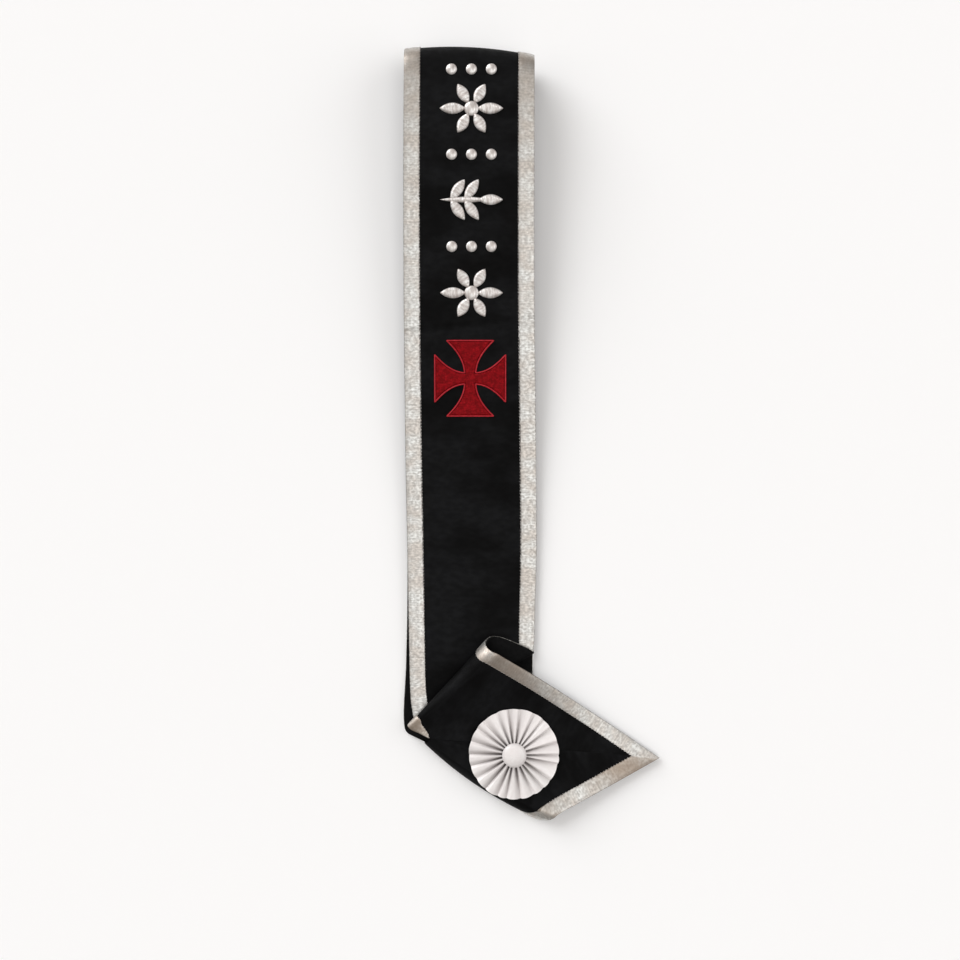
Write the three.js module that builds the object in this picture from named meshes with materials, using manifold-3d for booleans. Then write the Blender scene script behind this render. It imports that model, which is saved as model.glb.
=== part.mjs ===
// A folded masonic sash: one closed loop of black ribbon with silver braid along both edges, lying on a
// surface. From the surface upwards it has the back length (wrong side up), the front length (right side
// up), a short piece turned over, and the tip panel with a white pleated rosette. Millimetres, +Z up,
// +Y from the tip to the rolled end, with the origin on the surface under the middle of the outline.
import * as THREE from "three";
import { mergeVertices } from "three/addons/utils/BufferGeometryUtils.js";
import Module from "manifold-3d";

const wasm = await Module();
wasm.setup();

// Thicknesses of the cloth and the gap that sewn pieces keep between them
const BAND_THICKNESS = 1.4;
const BRAID_THICKNESS = 1.0;
const GAP = 0.3;
const TURNED_CLEARANCE = 0.9;
const PANEL_CLEARANCE = 2.5;
const BRAID_SHARE = 0.12;
const BRAID_OVERHANG = 0.003;
const BRAID_POINT = 0.06;
const INNER_BRAID_START = 0.35;
const INNER_BRAID_END = 2.2;
const HALF_BAND = BAND_THICKNESS / 2;
const BRAID_LOW = HALF_BAND + GAP;
const BRAID_HIGH = BRAID_LOW + BRAID_THICKNESS;

// Heights of the middle of the cloth in each layer, from the surface upwards
const BACK_HEIGHT = BRAID_HIGH;
const FRONT_HEIGHT = BACK_HEIGHT + BAND_THICKNESS + GAP;
const TURNED_HEIGHT = FRONT_HEIGHT + 2 * BRAID_HIGH + TURNED_CLEARANCE;
const PANEL_HEIGHT = TURNED_HEIGHT + PANEL_CLEARANCE;

// The rolled end: a half turn from the front length down to the back length
const ROLL_TOP = 40.5;
const ROLL_RADIUS = (ROLL_TOP - BACK_HEIGHT) / 2;
const ROLL_BOW = 4.6;

// Rulings run from the inner edge to the outer edge, in order along the ribbon from the tip's mitre.
// A row is one section of a length: [x, y, z] of its inner edge, then of its outer edge, the steps to the
// next row, and how far the middle stands above a straight line between the edges.
const section = (inner, outer, steps, crown = 0) => ({ inner, outer, steps, crown });

// A turn row is one fold: where each edge enters and leaves it, how far it bulges, and how far the
// middle of the fold bows out beyond a straight line between its ends.
const turn = (inner, outer, bow, arcs) => ({ inner, outer, bow, arcs });

const MITRE = section([-88.6, -264.6, PANEL_HEIGHT], [112, -282.6, 4], 3, 2.6);

const UPPER_PANEL = [
  section([-93.4, -262.1, PANEL_HEIGHT], [60, -247, 7], 3, 1.6),
  section([-98.6, -259.4, PANEL_HEIGHT], [11.5, -214.5, 16.5], 3),
  section([-103.5, -257.1, PANEL_HEIGHT], [-21, -194, 25.5], 3),
];

const LOOP_FOLD = turn(
  { from: [-106, -255.6, PANEL_HEIGHT], to: [-106, -254.8, TURNED_HEIGHT], bulge: [-1.7, 1.6] },
  { from: [-31.5, -187.5, 29], to: [-28.6, -175.8, 10.5], bulge: [-9.7, 1.8] },
  [0, 0],
  8,
);

const TURNED_PIECE = [
  section([-105.6, -255.2, TURNED_HEIGHT], [-13.7, -181.4, TURNED_HEIGHT + 0.6], 2),
];

const HIDDEN_FOLD = turn(
  { from: [-105.2, -255.7, TURNED_HEIGHT], to: [-104, -254.6, FRONT_HEIGHT], bulge: [1.4, -2.1] },
  { from: [-0.8, -187.4, TURNED_HEIGHT], to: [1.4, -188.2, FRONT_HEIGHT], bulge: [1.4, -2.1] },
  [0, 0],
  8,
);

const FRONT_LENGTH = [
  section([-103.4, -249.6, FRONT_HEIGHT], [1.8, -184, FRONT_HEIGHT], 2),
  section([-105.8, -232, FRONT_HEIGHT], [2.3, -175.6, FRONT_HEIGHT], 2),
  section([-107.3, -183.6, FRONT_HEIGHT], [2.7, -152.7, FRONT_HEIGHT], 2),
  section([-108.6, -108.7, 4.5], [4, -108.7, 4.5], 2),
  section([-109.9, -38.2, 7.5], [3.7, -38.2, 7.5], 2),
  section([-110.6, 31.6, 13.5], [2.8, 31.6, 13.5], 2),
  section([-110.9, 117.7, 23.5], [1.5, 117.7, 23.5], 2),
  section([-110.7, 202.3, 33], [1, 202.3, 33], 2),
  section([-110.2, 269.4, 38.8], [0.9, 269.4, 38.8], 2),
];

const ROLLED_END = turn(
  { from: [-109.8, 314.4, ROLL_TOP], to: [-109.6, 314.4, BACK_HEIGHT], bulge: [0, ROLL_RADIUS] },
  { from: [0.9, 309.2, ROLL_TOP], to: [0.8, 309.2, BACK_HEIGHT], bulge: [0, ROLL_RADIUS] },
  [0, ROLL_BOW],
  12,
);

const BACK_LENGTH = [
  section([-109.6, 300, BACK_HEIGHT], [0.8, 300, BACK_HEIGHT], 1),
  section([-109.6, 280, BACK_HEIGHT], [0.8, 280, BACK_HEIGHT], 2),
  section([-109.4, 32.3, BACK_HEIGHT], [1.1, 32.3, BACK_HEIGHT], 2),
  section([-109.1, -144.1, BACK_HEIGHT], [1.5, -144.1, BACK_HEIGHT], 2),
  section([-110.3, -201.4, BACK_HEIGHT], [0.6, -223.5, BACK_HEIGHT], 2),
  section([-112.1, -251.7, BACK_HEIGHT], [0.6, -285.2, BACK_HEIGHT], 2),
  section([-110, -260.3, BACK_HEIGHT], [0.6, -305.5, BACK_HEIGHT], 2),
  section([-99.5, -265.8, BACK_HEIGHT], [0.9, -319.5, BACK_HEIGHT], 2),
];

const LOWER_FOLD = turn(
  { from: [-93.4, -267.4, BACK_HEIGHT], to: [-90.2, -266.4, PANEL_HEIGHT], bulge: [-0.8, -2.9] },
  { from: [1.9, -328.8, BACK_HEIGHT], to: [21.6, -331.1, 12.5], bulge: [-4, -5.4] },
  [-2.9, -4.4],
  8,
);

const LOWER_PANEL = [
  section([-89.4, -265.6, PANEL_HEIGHT], [42.3, -320.3, 9.5], 3),
  section([-88.9, -265, PANEL_HEIGHT], [77.8, -301.4, 6.2], 3, 1.6),
];

// Embroidery on the front length
const PAD_HEIGHT = 1.3;
const PAD_EDGE = 0.7;
const PAD_SHOULDER = 0.55;
const PAD_CROWN = 0.1;
const CROSS_CENTRE = [-53.8, 50.3];
const CROSS_HALF_WIDTH = 30.1;
const CROSS_HALF_LENGTH = 31.9;
const CROSS_ARM_END = 18.6;
const CROSS_NECK = 4.1;
const CROSS_HOLLOW = 3.6;
const CROSS_THICKNESS = 1.0;
const CROSS_ARC_SPANS = 6;
const MITRE_LIMIT = 0.4;
const OUTLINE_WIDTH = 1.1;
const OUTLINE_HEIGHT = 1.3;
const ORNAMENT_X = -52.6;
const ORNAMENT_YS = [279, 202.4, 123.7];
const FLOWER_LEAVES = 6;
const FLOWER_LEAF_LENGTH = 18.5;
const FLOWER_LEAF_WIDTH = 9.5;
const FLOWER_STRETCH = 1.2;
const NEARLY_SIDEWAYS = 0.9;
const LEAF_START = 5;
const LEAF_SPANS = 6;
const LEAF_FULLNESS = 0.8;
const BOSS_RADIUS = 6.2;
const BOSS_SIDES = 16;
const TWIG_LENGTH = 54;
const TWIG_STEM_WIDTH = 5;
const TWIG_LEAF_LENGTH = 21;
const TWIG_LEAF_WIDTH = 9;
const TWIG_LEAF_ANGLE = 0.95;
const TWIG_PAIRS = [9, 21];
const DOT_RADIUS = 4.7;
const DOT_SIDES = 12;
const DOT_SPACING = 17;
const DOT_ROW_YS = [312, 240.5, 163];

// The rosette on the tip panel
const ROSETTE_SEAT = [-15.6, -277.3, 13.5];
const ROSETTE_TILT = 0.022;
const ROSETTE_RADIUS = 39.2;
const ROSETTE_INNER_RADIUS = 5;
const ROSETTE_FOLDS = [16, 28];
const ROSETTE_THICKNESS = 1.2;
const PLEAT_COUNT = 22;
const PLEAT_DEPTH = 2.2;
const BUTTON_RADIUS = 10.6;
const BUTTON_HEIGHT = 5.5;
const BUTTON_EDGE = 1.5;
const BUTTON_SPANS = 5;
const BUTTON_SIDES = 28;

// How finely the cloth is faceted and its direction measured
const NORMAL_STEP = 0.002;
const BAND_SPANS = 6;
const HALVINGS = 40;

function material(color, roughness, metalness) {
  return new THREE.MeshStandardMaterial({ color, roughness, metalness });
}

const BLACK_CLOTH = material(0x0d0d10, 0.75, 0);
const SILVER_BRAID = material(0xb9b1ab, 0.45, 0.5);
const SILVER_THREAD = material(0xd6d3d0, 0.5, 0.3);
const RED_THREAD = material(0x9c1420, 0.7, 0);
const RED_CORD = material(0xc02733, 0.6, 0);
const WHITE_SATIN = material(0xe8e0de, 0.5, 0);

// One ruling of a turn, at an angle from 0 where it starts to a half turn where it ends
function turnEdge(edge, angle) {
  const from = new THREE.Vector3(...edge.from);
  const to = new THREE.Vector3(...edge.to);
  const middle = from.clone().add(to).multiplyScalar(0.5);
  const arm = from.clone().sub(to).multiplyScalar(0.5 * Math.cos(angle));
  const bulge = new THREE.Vector3(...edge.bulge, 0).multiplyScalar(Math.sin(angle));
  return middle.add(arm).add(bulge);
}

// All rulings of the ribbon, each with its two ends, its bow and the steps to the next one
function listRulings() {
  const rulings = [];
  const addSections = (rows) => {
    for (const row of rows) {
      rulings.push({
        inner: new THREE.Vector3(...row.inner),
        outer: new THREE.Vector3(...row.outer),
        bow: new THREE.Vector3(0, 0, row.crown),
        steps: row.steps,
      });
    }
  };
  const addTurn = (fold) => {
    for (let i = 0; i <= fold.arcs; i++) {
      const angle = Math.PI * i / fold.arcs;
      rulings.push({
        inner: turnEdge(fold.inner, angle),
        outer: turnEdge(fold.outer, angle),
        bow: new THREE.Vector3(...fold.bow, 0),
        steps: i === fold.arcs ? 2 : 1,
      });
    }
  };
  addSections([MITRE, ...UPPER_PANEL]);
  addTurn(LOOP_FOLD);
  addSections(TURNED_PIECE);
  addTurn(HIDDEN_FOLD);
  addSections(FRONT_LENGTH);
  addTurn(ROLLED_END);
  addSections(BACK_LENGTH);
  addTurn(LOWER_FOLD);
  addSections([...LOWER_PANEL, MITRE]);
  return rulings;
}

const rulings = listRulings();
const lastRuling = rulings.length - 1;
const edgeCurve = (key) => new THREE.CatmullRomCurve3(rulings.map((ruling) => ruling[key]));
const innerCurve = edgeCurve("inner");
const outerCurve = edgeCurve("outer");

// The bow between two rulings, with an even start and end
function bowAt(s) {
  const index = Math.min(Math.floor(s), lastRuling - 1);
  const share = THREE.MathUtils.smoothstep(s - index, 0, 1);
  return rulings[index].bow.clone().lerp(rulings[index + 1].bow, share);
}

// The middle of the cloth at a station s, counted in rulings, and a share v across from the inner edge;
// its lowest layer lies on the surface
function clothPoint(s, v) {
  const t = THREE.MathUtils.clamp(s / lastRuling, 0, 1);
  const inner = innerCurve.getPoint(t);
  const outer = outerCurve.getPoint(t);
  const point = inner.lerp(outer, v).add(bowAt(s).multiplyScalar(4 * v * (1 - v)));
  return point.setZ(Math.max(point.z, BACK_HEIGHT));
}

// The right side's direction, one-sided at the mitre
function oneSidedNormal(s, v) {
  const before = clothPoint(Math.max(s - NORMAL_STEP, 0), v);
  const after = clothPoint(Math.min(s + NORMAL_STEP, lastRuling), v);
  const across = clothPoint(s, v + NORMAL_STEP).sub(clothPoint(s, v - NORMAL_STEP));
  return across.cross(after.sub(before)).normalize();
}

function clothNormal(s, v) {
  if (s <= 0 || s >= lastRuling) {
    return oneSidedNormal(0, v).add(oneSidedNormal(lastRuling, v)).normalize();
  }
  return oneSidedNormal(s, v);
}

// A place at a height above the middle of the cloth, on its right side
function clothPlace(s, v, height) {
  return clothPoint(s, v).addScaledVector(clothNormal(s, v), height);
}

// Every station of the faceted ribbon
function listStations() {
  const stations = [];
  for (let i = 0; i < lastRuling; i++) {
    for (let k = 0; k < rulings[i].steps; k++) {
      stations.push(i + k / rulings[i].steps);
    }
  }
  return stations;
}

// A geometry from rings of points, all rings alike, with its faces turned outwards
function ringSolid(rings, closed) {
  const count = rings[0].length;
  const triangles = [];
  const last = closed ? rings.length : rings.length - 1;
  for (let i = 0; i < last; i++) {
    const near = i * count;
    const far = (i + 1) % rings.length * count;
    for (let j = 0; j < count; j++) {
      const next = (j + 1) % count;
      triangles.push(near + j, near + next, far + next, near + j, far + next, far + j);
    }
  }
  if (!closed) {
    const end = (rings.length - 1) * count;
    for (let j = 1; j < count - 1; j++) {
      triangles.push(0, j + 1, j, end, end + j, end + j + 1);
    }
  }
  return outwardGeometry(rings.flat(), triangles);
}

function outwardGeometry(points, triangles) {
  let volume = 0;
  for (let i = 0; i < triangles.length; i += 3) {
    const [a, b, c] = [points[triangles[i]], points[triangles[i + 1]], points[triangles[i + 2]]];
    volume += a.dot(b.clone().cross(c));
  }
  if (volume < 0) {
    for (let i = 0; i < triangles.length; i += 3) {
      [triangles[i + 1], triangles[i + 2]] = [triangles[i + 2], triangles[i + 1]];
    }
  }
  const geometry = new THREE.BufferGeometry().setFromPoints(points);
  geometry.setIndex(triangles);
  return geometry;
}

// A strip of cloth between two shares across and two heights; each side may change along the ribbon
function clothStrip(stations, sides, low, high, spans, closed) {
  const rings = stations.map((s) => {
    const [start, end] = sides(s);
    const ring = [];
    for (let j = 0; j <= spans; j++) {
      ring.push(clothPlace(s, start + (end - start) * j / spans, low));
    }
    for (let j = spans; j >= 0; j--) {
      ring.push(clothPlace(s, start + (end - start) * j / spans, high));
    }
    return ring;
  });
  return ringSolid(rings, closed);
}

const stations = listStations();

function makeBand() {
  return clothStrip(stations, () => [0, 1], -HALF_BAND, HALF_BAND, BAND_SPANS, true);
}

function makeOuterBraid() {
  const sides = () => [1 - BRAID_SHARE, 1 + BRAID_OVERHANG];
  return clothStrip(stations, sides, BRAID_LOW, BRAID_HIGH, 1, true);
}

// The inner braid tapers to its end between the mitre and the loop, and stops at the lower fold
function makeInnerBraid() {
  const first = INNER_BRAID_START;
  const full = UPPER_PANEL.length + 1;
  const last = lastRuling - LOWER_PANEL.length - 1 - LOWER_FOLD.arcs - INNER_BRAID_END;
  const sides = (s) => {
    const taper = THREE.MathUtils.clamp((s - first) / (full - first), BRAID_POINT, 1);
    return [-BRAID_OVERHANG, BRAID_SHARE * taper];
  };
  const used = [first, ...stations.filter((s) => s > first && s < last)];
  return clothStrip(used, sides, BRAID_LOW, BRAID_HIGH, 1, false);
}

// The front length's stations, between which a place is found from its x and y
const frontStart = 1 + UPPER_PANEL.length + LOOP_FOLD.arcs + 1 + TURNED_PIECE.length + HIDDEN_FOLD.arcs + 1;
const frontEnd = frontStart + FRONT_LENGTH.length + ROLLED_END.arcs / 2;

function frontPlace(x, y, height) {
  let low = frontStart;
  let high = frontEnd;
  let v = 0.5;
  for (let pass = 0; pass < HALVINGS; pass++) {
    const s = (low + high) / 2;
    const inner = clothPoint(s, 0);
    const outer = clothPoint(s, 1);
    v = (x - inner.x) / (outer.x - inner.x);
    if (clothPoint(s, v).y < y) {
      low = s;
    } else {
      high = s;
    }
  }
  return clothPlace((low + high) / 2, v, height);
}

// Lays a flat solid, drawn in x and y with its heights in z, on the front length
function layOnFront(geometry) {
  const position = geometry.getAttribute("position");
  for (let i = 0; i < position.count; i++) {
    const height = HALF_BAND + GAP + position.getZ(i);
    const place = frontPlace(position.getX(i), position.getY(i), height);
    position.setXYZ(i, place.x, place.y, place.z);
  }
  geometry.computeVertexNormals();
  return geometry;
}

// A padded shape over an outline that is seen whole from its middle
function padGeometry(outline, centre, edge, height) {
  const points = [];
  for (const [share, level] of [[1, 0], [1, edge], [PAD_SHOULDER, height]]) {
    for (const [x, y] of outline) {
      points.push(new THREE.Vector3(
        centre[0] + (x - centre[0]) * share,
        centre[1] + (y - centre[1]) * share,
        level,
      ));
    }
  }
  const count = outline.length;
  points.push(new THREE.Vector3(...centre, 0), new THREE.Vector3(...centre, height + PAD_CROWN));
  const bottom = 3 * count;
  const triangles = [];
  for (let j = 0; j < count; j++) {
    const next = (j + 1) % count;
    triangles.push(bottom, next, j);
    for (const level of [0, count]) {
      triangles.push(level + j, level + next, level + count + next);
      triangles.push(level + j, level + count + next, level + count + j);
    }
    triangles.push(2 * count + j, 2 * count + next, bottom + 1);
  }
  return outwardGeometry(points, triangles);
}

function toManifold(geometry) {
  const bare = geometry.clone();
  bare.deleteAttribute("normal");
  bare.deleteAttribute("uv");
  const merged = mergeVertices(bare);
  return new wasm.Manifold(new wasm.Mesh({
    numProp: 3,
    vertProperties: new Float32Array(merged.getAttribute("position").array),
    triVerts: new Uint32Array(merged.getIndex().array),
  }));
}

function fromManifold(solid) {
  const mesh = solid.getMesh();
  const geometry = new THREE.BufferGeometry();
  geometry.setAttribute("position", new THREE.BufferAttribute(mesh.vertProperties, 3));
  geometry.setIndex(new THREE.BufferAttribute(mesh.triVerts, 1));
  return geometry;
}

function joined(geometries) {
  const solids = geometries.map(toManifold);
  return fromManifold(solids.reduce((whole, solid) => whole.add(solid)));
}

function circleOutline(centre, radius, sides) {
  const outline = [];
  for (let i = 0; i < sides; i++) {
    const angle = 2 * Math.PI * i / sides;
    outline.push([centre[0] + radius * Math.cos(angle), centre[1] + radius * Math.sin(angle)]);
  }
  return outline;
}

// A pointed leaf from its foot, in a direction, as two shallow bows
function leafOutline(foot, direction, length, width) {
  const spans = LEAF_SPANS;
  const outline = [];
  const along = [Math.cos(direction), Math.sin(direction)];
  const point = (share, side) => {
    const offset = side * width / 2 * Math.sin(Math.PI * share) ** LEAF_FULLNESS;
    return [
      foot[0] + along[0] * length * share - along[1] * offset,
      foot[1] + along[1] * length * share + along[0] * offset,
    ];
  };
  for (let i = 0; i < spans; i++) {
    outline.push(point(i / spans, -1));
  }
  for (let i = spans; i > 0; i--) {
    outline.push(point(i / spans, 1));
  }
  return outline;
}

function leafPad(foot, direction, length, width) {
  const centre = [
    foot[0] + Math.cos(direction) * length / 2,
    foot[1] + Math.sin(direction) * length / 2,
  ];
  return padGeometry(leafOutline(foot, direction, length, width), centre, PAD_EDGE, PAD_HEIGHT);
}

// A flower of leaves round a boss, longer across the ribbon than along it
function flowerGeometry(y) {
  const centre = [ORNAMENT_X, y];
  const pads = [padGeometry(circleOutline(centre, BOSS_RADIUS, BOSS_SIDES), centre, PAD_EDGE, PAD_HEIGHT)];
  for (let i = 0; i < FLOWER_LEAVES; i++) {
    const direction = 2 * Math.PI * i / FLOWER_LEAVES;
    const sideways = Math.abs(Math.cos(direction)) > NEARLY_SIDEWAYS;
    const length = FLOWER_LEAF_LENGTH * (sideways ? FLOWER_STRETCH : 1);
    const foot = [
      centre[0] + LEAF_START * Math.cos(direction),
      centre[1] + LEAF_START * Math.sin(direction),
    ];
    pads.push(leafPad(foot, direction, length, FLOWER_LEAF_WIDTH));
  }
  return layOnFront(joined(pads));
}

// A twig across the ribbon: a stem with pairs of leaves and one at its end
function twigGeometry(y) {
  const start = [ORNAMENT_X - TWIG_LENGTH / 2, y];
  const tipFoot = [start[0] + TWIG_LENGTH - TWIG_LEAF_LENGTH, y];
  const pads = [
    leafPad(start, 0, TWIG_LENGTH - TWIG_LEAF_LENGTH / 2, TWIG_STEM_WIDTH),
    leafPad(tipFoot, 0, TWIG_LEAF_LENGTH, TWIG_LEAF_WIDTH),
  ];
  for (const reach of TWIG_PAIRS) {
    for (const side of [-1, 1]) {
      const foot = [start[0] + reach, y];
      pads.push(leafPad(foot, side * TWIG_LEAF_ANGLE, TWIG_LEAF_LENGTH, TWIG_LEAF_WIDTH));
    }
  }
  return layOnFront(joined(pads));
}

// The cross: four arms alike but for their reach, with hollow sides from the neck to the arm's end
function crossOutline() {
  const arcSpans = CROSS_ARC_SPANS;
  const outline = [];
  for (let arm = 0; arm < 4; arm++) {
    const reach = arm % 2 ? CROSS_HALF_WIDTH : CROSS_HALF_LENGTH;
    const direction = Math.PI / 2 * (1 - arm);
    const place = (share, side) => {
      const along = CROSS_NECK + (reach - CROSS_NECK) * share;
      const across = side * (CROSS_NECK + (CROSS_ARM_END - CROSS_NECK) * share
        - CROSS_HOLLOW * 4 * share * (1 - share));
      return [
        CROSS_CENTRE[0] + along * Math.cos(direction) - across * Math.sin(direction),
        CROSS_CENTRE[1] + along * Math.sin(direction) + across * Math.cos(direction),
      ];
    };
    for (let i = 0; i <= arcSpans; i++) {
      outline.push(place(i / arcSpans, 1));
    }
    for (let i = arcSpans; i > 0; i--) {
      outline.push(place(i / arcSpans, -1));
    }
  }
  return outline;
}

// An outline moved outwards by a distance, with sharp corners; it runs clockwise
function grownOutline(outline, distance) {
  const count = outline.length;
  return outline.map(([x, y], i) => {
    const [beforeX, beforeY] = outline[(i + count - 1) % count];
    const [afterX, afterY] = outline[(i + 1) % count];
    const before = new THREE.Vector2(beforeY - y, x - beforeX).normalize();
    const after = new THREE.Vector2(y - afterY, afterX - x).normalize();
    const middle = before.add(after).normalize();
    const reach = distance / Math.max(middle.dot(after), MITRE_LIMIT);
    return [x + middle.x * reach, y + middle.y * reach];
  });
}

function makeCrossField() {
  const shape = new THREE.Shape(crossOutline().map(([x, y]) => new THREE.Vector2(x, y)));
  return layOnFront(new THREE.ExtrudeGeometry(shape, { depth: CROSS_THICKNESS, bevelEnabled: false }));
}

function makeCrossOutline() {
  const near = grownOutline(crossOutline(), GAP);
  const far = grownOutline(crossOutline(), GAP + OUTLINE_WIDTH);
  const rings = near.map(([x, y], i) => [
    new THREE.Vector3(x, y, 0),
    new THREE.Vector3(...far[i], 0),
    new THREE.Vector3(...far[i], OUTLINE_HEIGHT),
    new THREE.Vector3(x, y, OUTLINE_HEIGHT),
  ]);
  return layOnFront(ringSolid(rings, true));
}

function makeDot(x, y) {
  return layOnFront(padGeometry(circleOutline([x, y], DOT_RADIUS, DOT_SIDES), [x, y], PAD_EDGE, PAD_HEIGHT));
}

// The pleated disc: ridges and valleys with one depth from the middle to the rim
function makePleats() {
  const radii = [ROSETTE_INNER_RADIUS, ...ROSETTE_FOLDS, ROSETTE_RADIUS];
  const sides = 2 * PLEAT_COUNT;
  const rings = [];
  for (let i = 0; i < sides; i++) {
    const angle = 2 * Math.PI * i / sides;
    const level = i % 2 ? PLEAT_DEPTH : 0;
    const ring = [];
    for (const radius of radii) {
      ring.push(new THREE.Vector3(radius * Math.cos(angle), radius * Math.sin(angle), level));
    }
    for (const radius of [...radii].reverse()) {
      const top = level + ROSETTE_THICKNESS;
      ring.push(new THREE.Vector3(radius * Math.cos(angle), radius * Math.sin(angle), top));
    }
    rings.push(ring);
  }
  return ringSolid(rings, true);
}

function makeButton() {
  const low = ROSETTE_THICKNESS + PLEAT_DEPTH + GAP;
  const profile = [new THREE.Vector2(0, low), new THREE.Vector2(BUTTON_RADIUS - BUTTON_EDGE, low)];
  for (let i = 0; i < BUTTON_SPANS; i++) {
    const angle = Math.PI / 2 * i / BUTTON_SPANS;
    profile.push(new THREE.Vector2(
      BUTTON_RADIUS * Math.cos(angle),
      low + BUTTON_EDGE + (BUTTON_HEIGHT - BUTTON_EDGE) * Math.sin(angle),
    ));
  }
  profile.push(new THREE.Vector2(0, low + BUTTON_HEIGHT));
  return new THREE.LatheGeometry(profile, BUTTON_SIDES).rotateX(Math.PI / 2);
}

const sash = new THREE.Group();

function addMesh(parent, name, geometry, cloth) {
  const mesh = new THREE.Mesh(geometry, cloth);
  mesh.name = name;
  parent.add(mesh);
}

addMesh(sash, "ribbon_band", makeBand(), BLACK_CLOTH);
addMesh(sash, "outer_braid", makeOuterBraid(), SILVER_BRAID);
addMesh(sash, "inner_braid", makeInnerBraid(), SILVER_BRAID);
addMesh(sash, "cross_field", makeCrossField(), RED_THREAD);
addMesh(sash, "cross_outline", makeCrossOutline(), RED_CORD);
addMesh(sash, "top_flower", flowerGeometry(ORNAMENT_YS[0]), SILVER_THREAD);
addMesh(sash, "middle_twig", twigGeometry(ORNAMENT_YS[1]), SILVER_THREAD);
addMesh(sash, "lower_flower", flowerGeometry(ORNAMENT_YS[2]), SILVER_THREAD);
DOT_ROW_YS.forEach((y, row) => {
  for (const column of [-1, 0, 1]) {
    const name = `dot_${row + 1}_${column + 2}`;
    addMesh(sash, name, makeDot(ORNAMENT_X + DOT_SPACING * column, y), SILVER_THREAD);
  }
});

const rosette = new THREE.Group();
rosette.position.set(...ROSETTE_SEAT);
rosette.rotation.y = ROSETTE_TILT;
addMesh(rosette, "rosette_pleats", makePleats(), WHITE_SATIN);
addMesh(rosette, "rosette_button", makeButton(), WHITE_SATIN);
sash.add(rosette);

export default sash;
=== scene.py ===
"""A folded masonic sash lying on a pale floor: black ribbon, silver braid, embroidery and a white rosette.

The ribbon is one closed loop of cloth. A map from a station along the loop, a share across it and a height
above the cloth gives every place on it, and the braids, stitches and embroidery are laid on with that map.
All sizes are in metres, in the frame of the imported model.
"""

from __future__ import annotations

import logging
import math
from dataclasses import dataclass, field
from enum import Enum
from functools import cache

import bpy
import numpy as np
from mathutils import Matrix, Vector

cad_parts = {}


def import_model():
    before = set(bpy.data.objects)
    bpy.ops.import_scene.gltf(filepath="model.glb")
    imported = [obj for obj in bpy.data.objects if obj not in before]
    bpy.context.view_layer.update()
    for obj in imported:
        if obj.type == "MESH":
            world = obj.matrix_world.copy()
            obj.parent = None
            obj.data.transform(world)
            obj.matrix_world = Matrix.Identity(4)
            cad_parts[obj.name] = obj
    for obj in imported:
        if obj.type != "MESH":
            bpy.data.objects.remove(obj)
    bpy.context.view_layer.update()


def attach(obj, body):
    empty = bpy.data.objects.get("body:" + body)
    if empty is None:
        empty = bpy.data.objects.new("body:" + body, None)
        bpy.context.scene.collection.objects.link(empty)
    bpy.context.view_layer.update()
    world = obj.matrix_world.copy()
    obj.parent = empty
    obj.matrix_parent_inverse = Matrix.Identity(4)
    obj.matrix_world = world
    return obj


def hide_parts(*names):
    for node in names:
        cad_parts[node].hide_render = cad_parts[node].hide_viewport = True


LOG = logging.getLogger("sash")
MM = 0.001
BODY = "root"
SEAT = 0.02
LEAST_GAP = 1e-9

Place = tuple[float, float, float]
Pair = tuple[float, float]
Face = tuple[int, ...]
Array = np.ndarray
Piece = bpy.types.Object
Material = bpy.types.Material
Socket = bpy.types.NodeSocket


class Slot(Enum):
    """The record's material slots."""

    RIBBON = "black_ribbon"
    BRAID = "silver_braid"
    SILVER_THREAD = "silver_thread"
    RED_THREAD = "red_thread"
    RED_CORD = "red_cord"
    SATIN = "white_satin"


class Side(Enum):
    """The two sides of the ribbon, by the order of its materials."""

    RIGHT = 0
    WRONG = 1


@dataclass(frozen=True)
class Cloth:
    """Thicknesses of the cloth, in millimetres, and the heights of its layers when folded."""

    width: float = 110.0
    band: float = 1.4
    braid: float = 1.0
    gap: float = 0.3
    turned_clearance: float = 0.9
    panel_clearance: float = 2.5
    braid_share: float = 0.12
    overhang: float = 0.003

    @property
    def half_band(self) -> float:
        """Return half of the ribbon's thickness."""
        return self.band / 2

    @property
    def braid_high(self) -> float:
        """Return the height of the braid's outside above the middle of the ribbon."""
        return self.half_band + self.gap + self.braid

    @property
    def back(self) -> float:
        """Return the height of the back length, which lies on the surface."""
        return self.braid_high

    @property
    def front(self) -> float:
        """Return the height of the front length where it lies on the back length."""
        return self.back + self.band + self.gap

    @property
    def turned(self) -> float:
        """Return the height of the short piece turned over on the front length."""
        return self.front + 2 * self.braid_high + self.turned_clearance

    @property
    def panel(self) -> float:
        """Return the height of the tip panel's inner edge."""
        return self.turned + self.panel_clearance


CLOTH = Cloth()


def unit(vectors: Array, least: float = 0.0) -> Array:
    """Return vectors with a length of one, where a length under the least counts as the least."""
    return vectors / np.maximum(np.linalg.norm(vectors, axis=-1, keepdims=True), least)


def lengths_along(line: Array) -> Array:
    """Return how far along a line each of its points is."""
    return np.append(0, np.cumsum(np.linalg.norm(np.diff(line, axis=0), axis=1)))


def wrap(upper: Array, lower: Array) -> Array:
    """Return rings that go across an upper side and back across a lower one, row by row."""
    return np.concatenate([upper, lower[:, ::-1]], axis=1)


def turned_plan(centre: Pair, along: Array, across: Array, direction: float) -> Array:
    """Turn a flat shape into place.

    Args:
        centre: Where its own origin goes.
        along: Its places in the direction that it points.
        across: Its places across that.
        direction: Which way it points, in radians.

    Returns:
        The plan places, with a last axis of two.
    """
    cos, sin = math.cos(direction), math.sin(direction)
    x = centre[0] + along * cos - across * sin
    y = centre[1] + along * sin + across * cos
    return np.stack([x, y], axis=-1)


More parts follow.
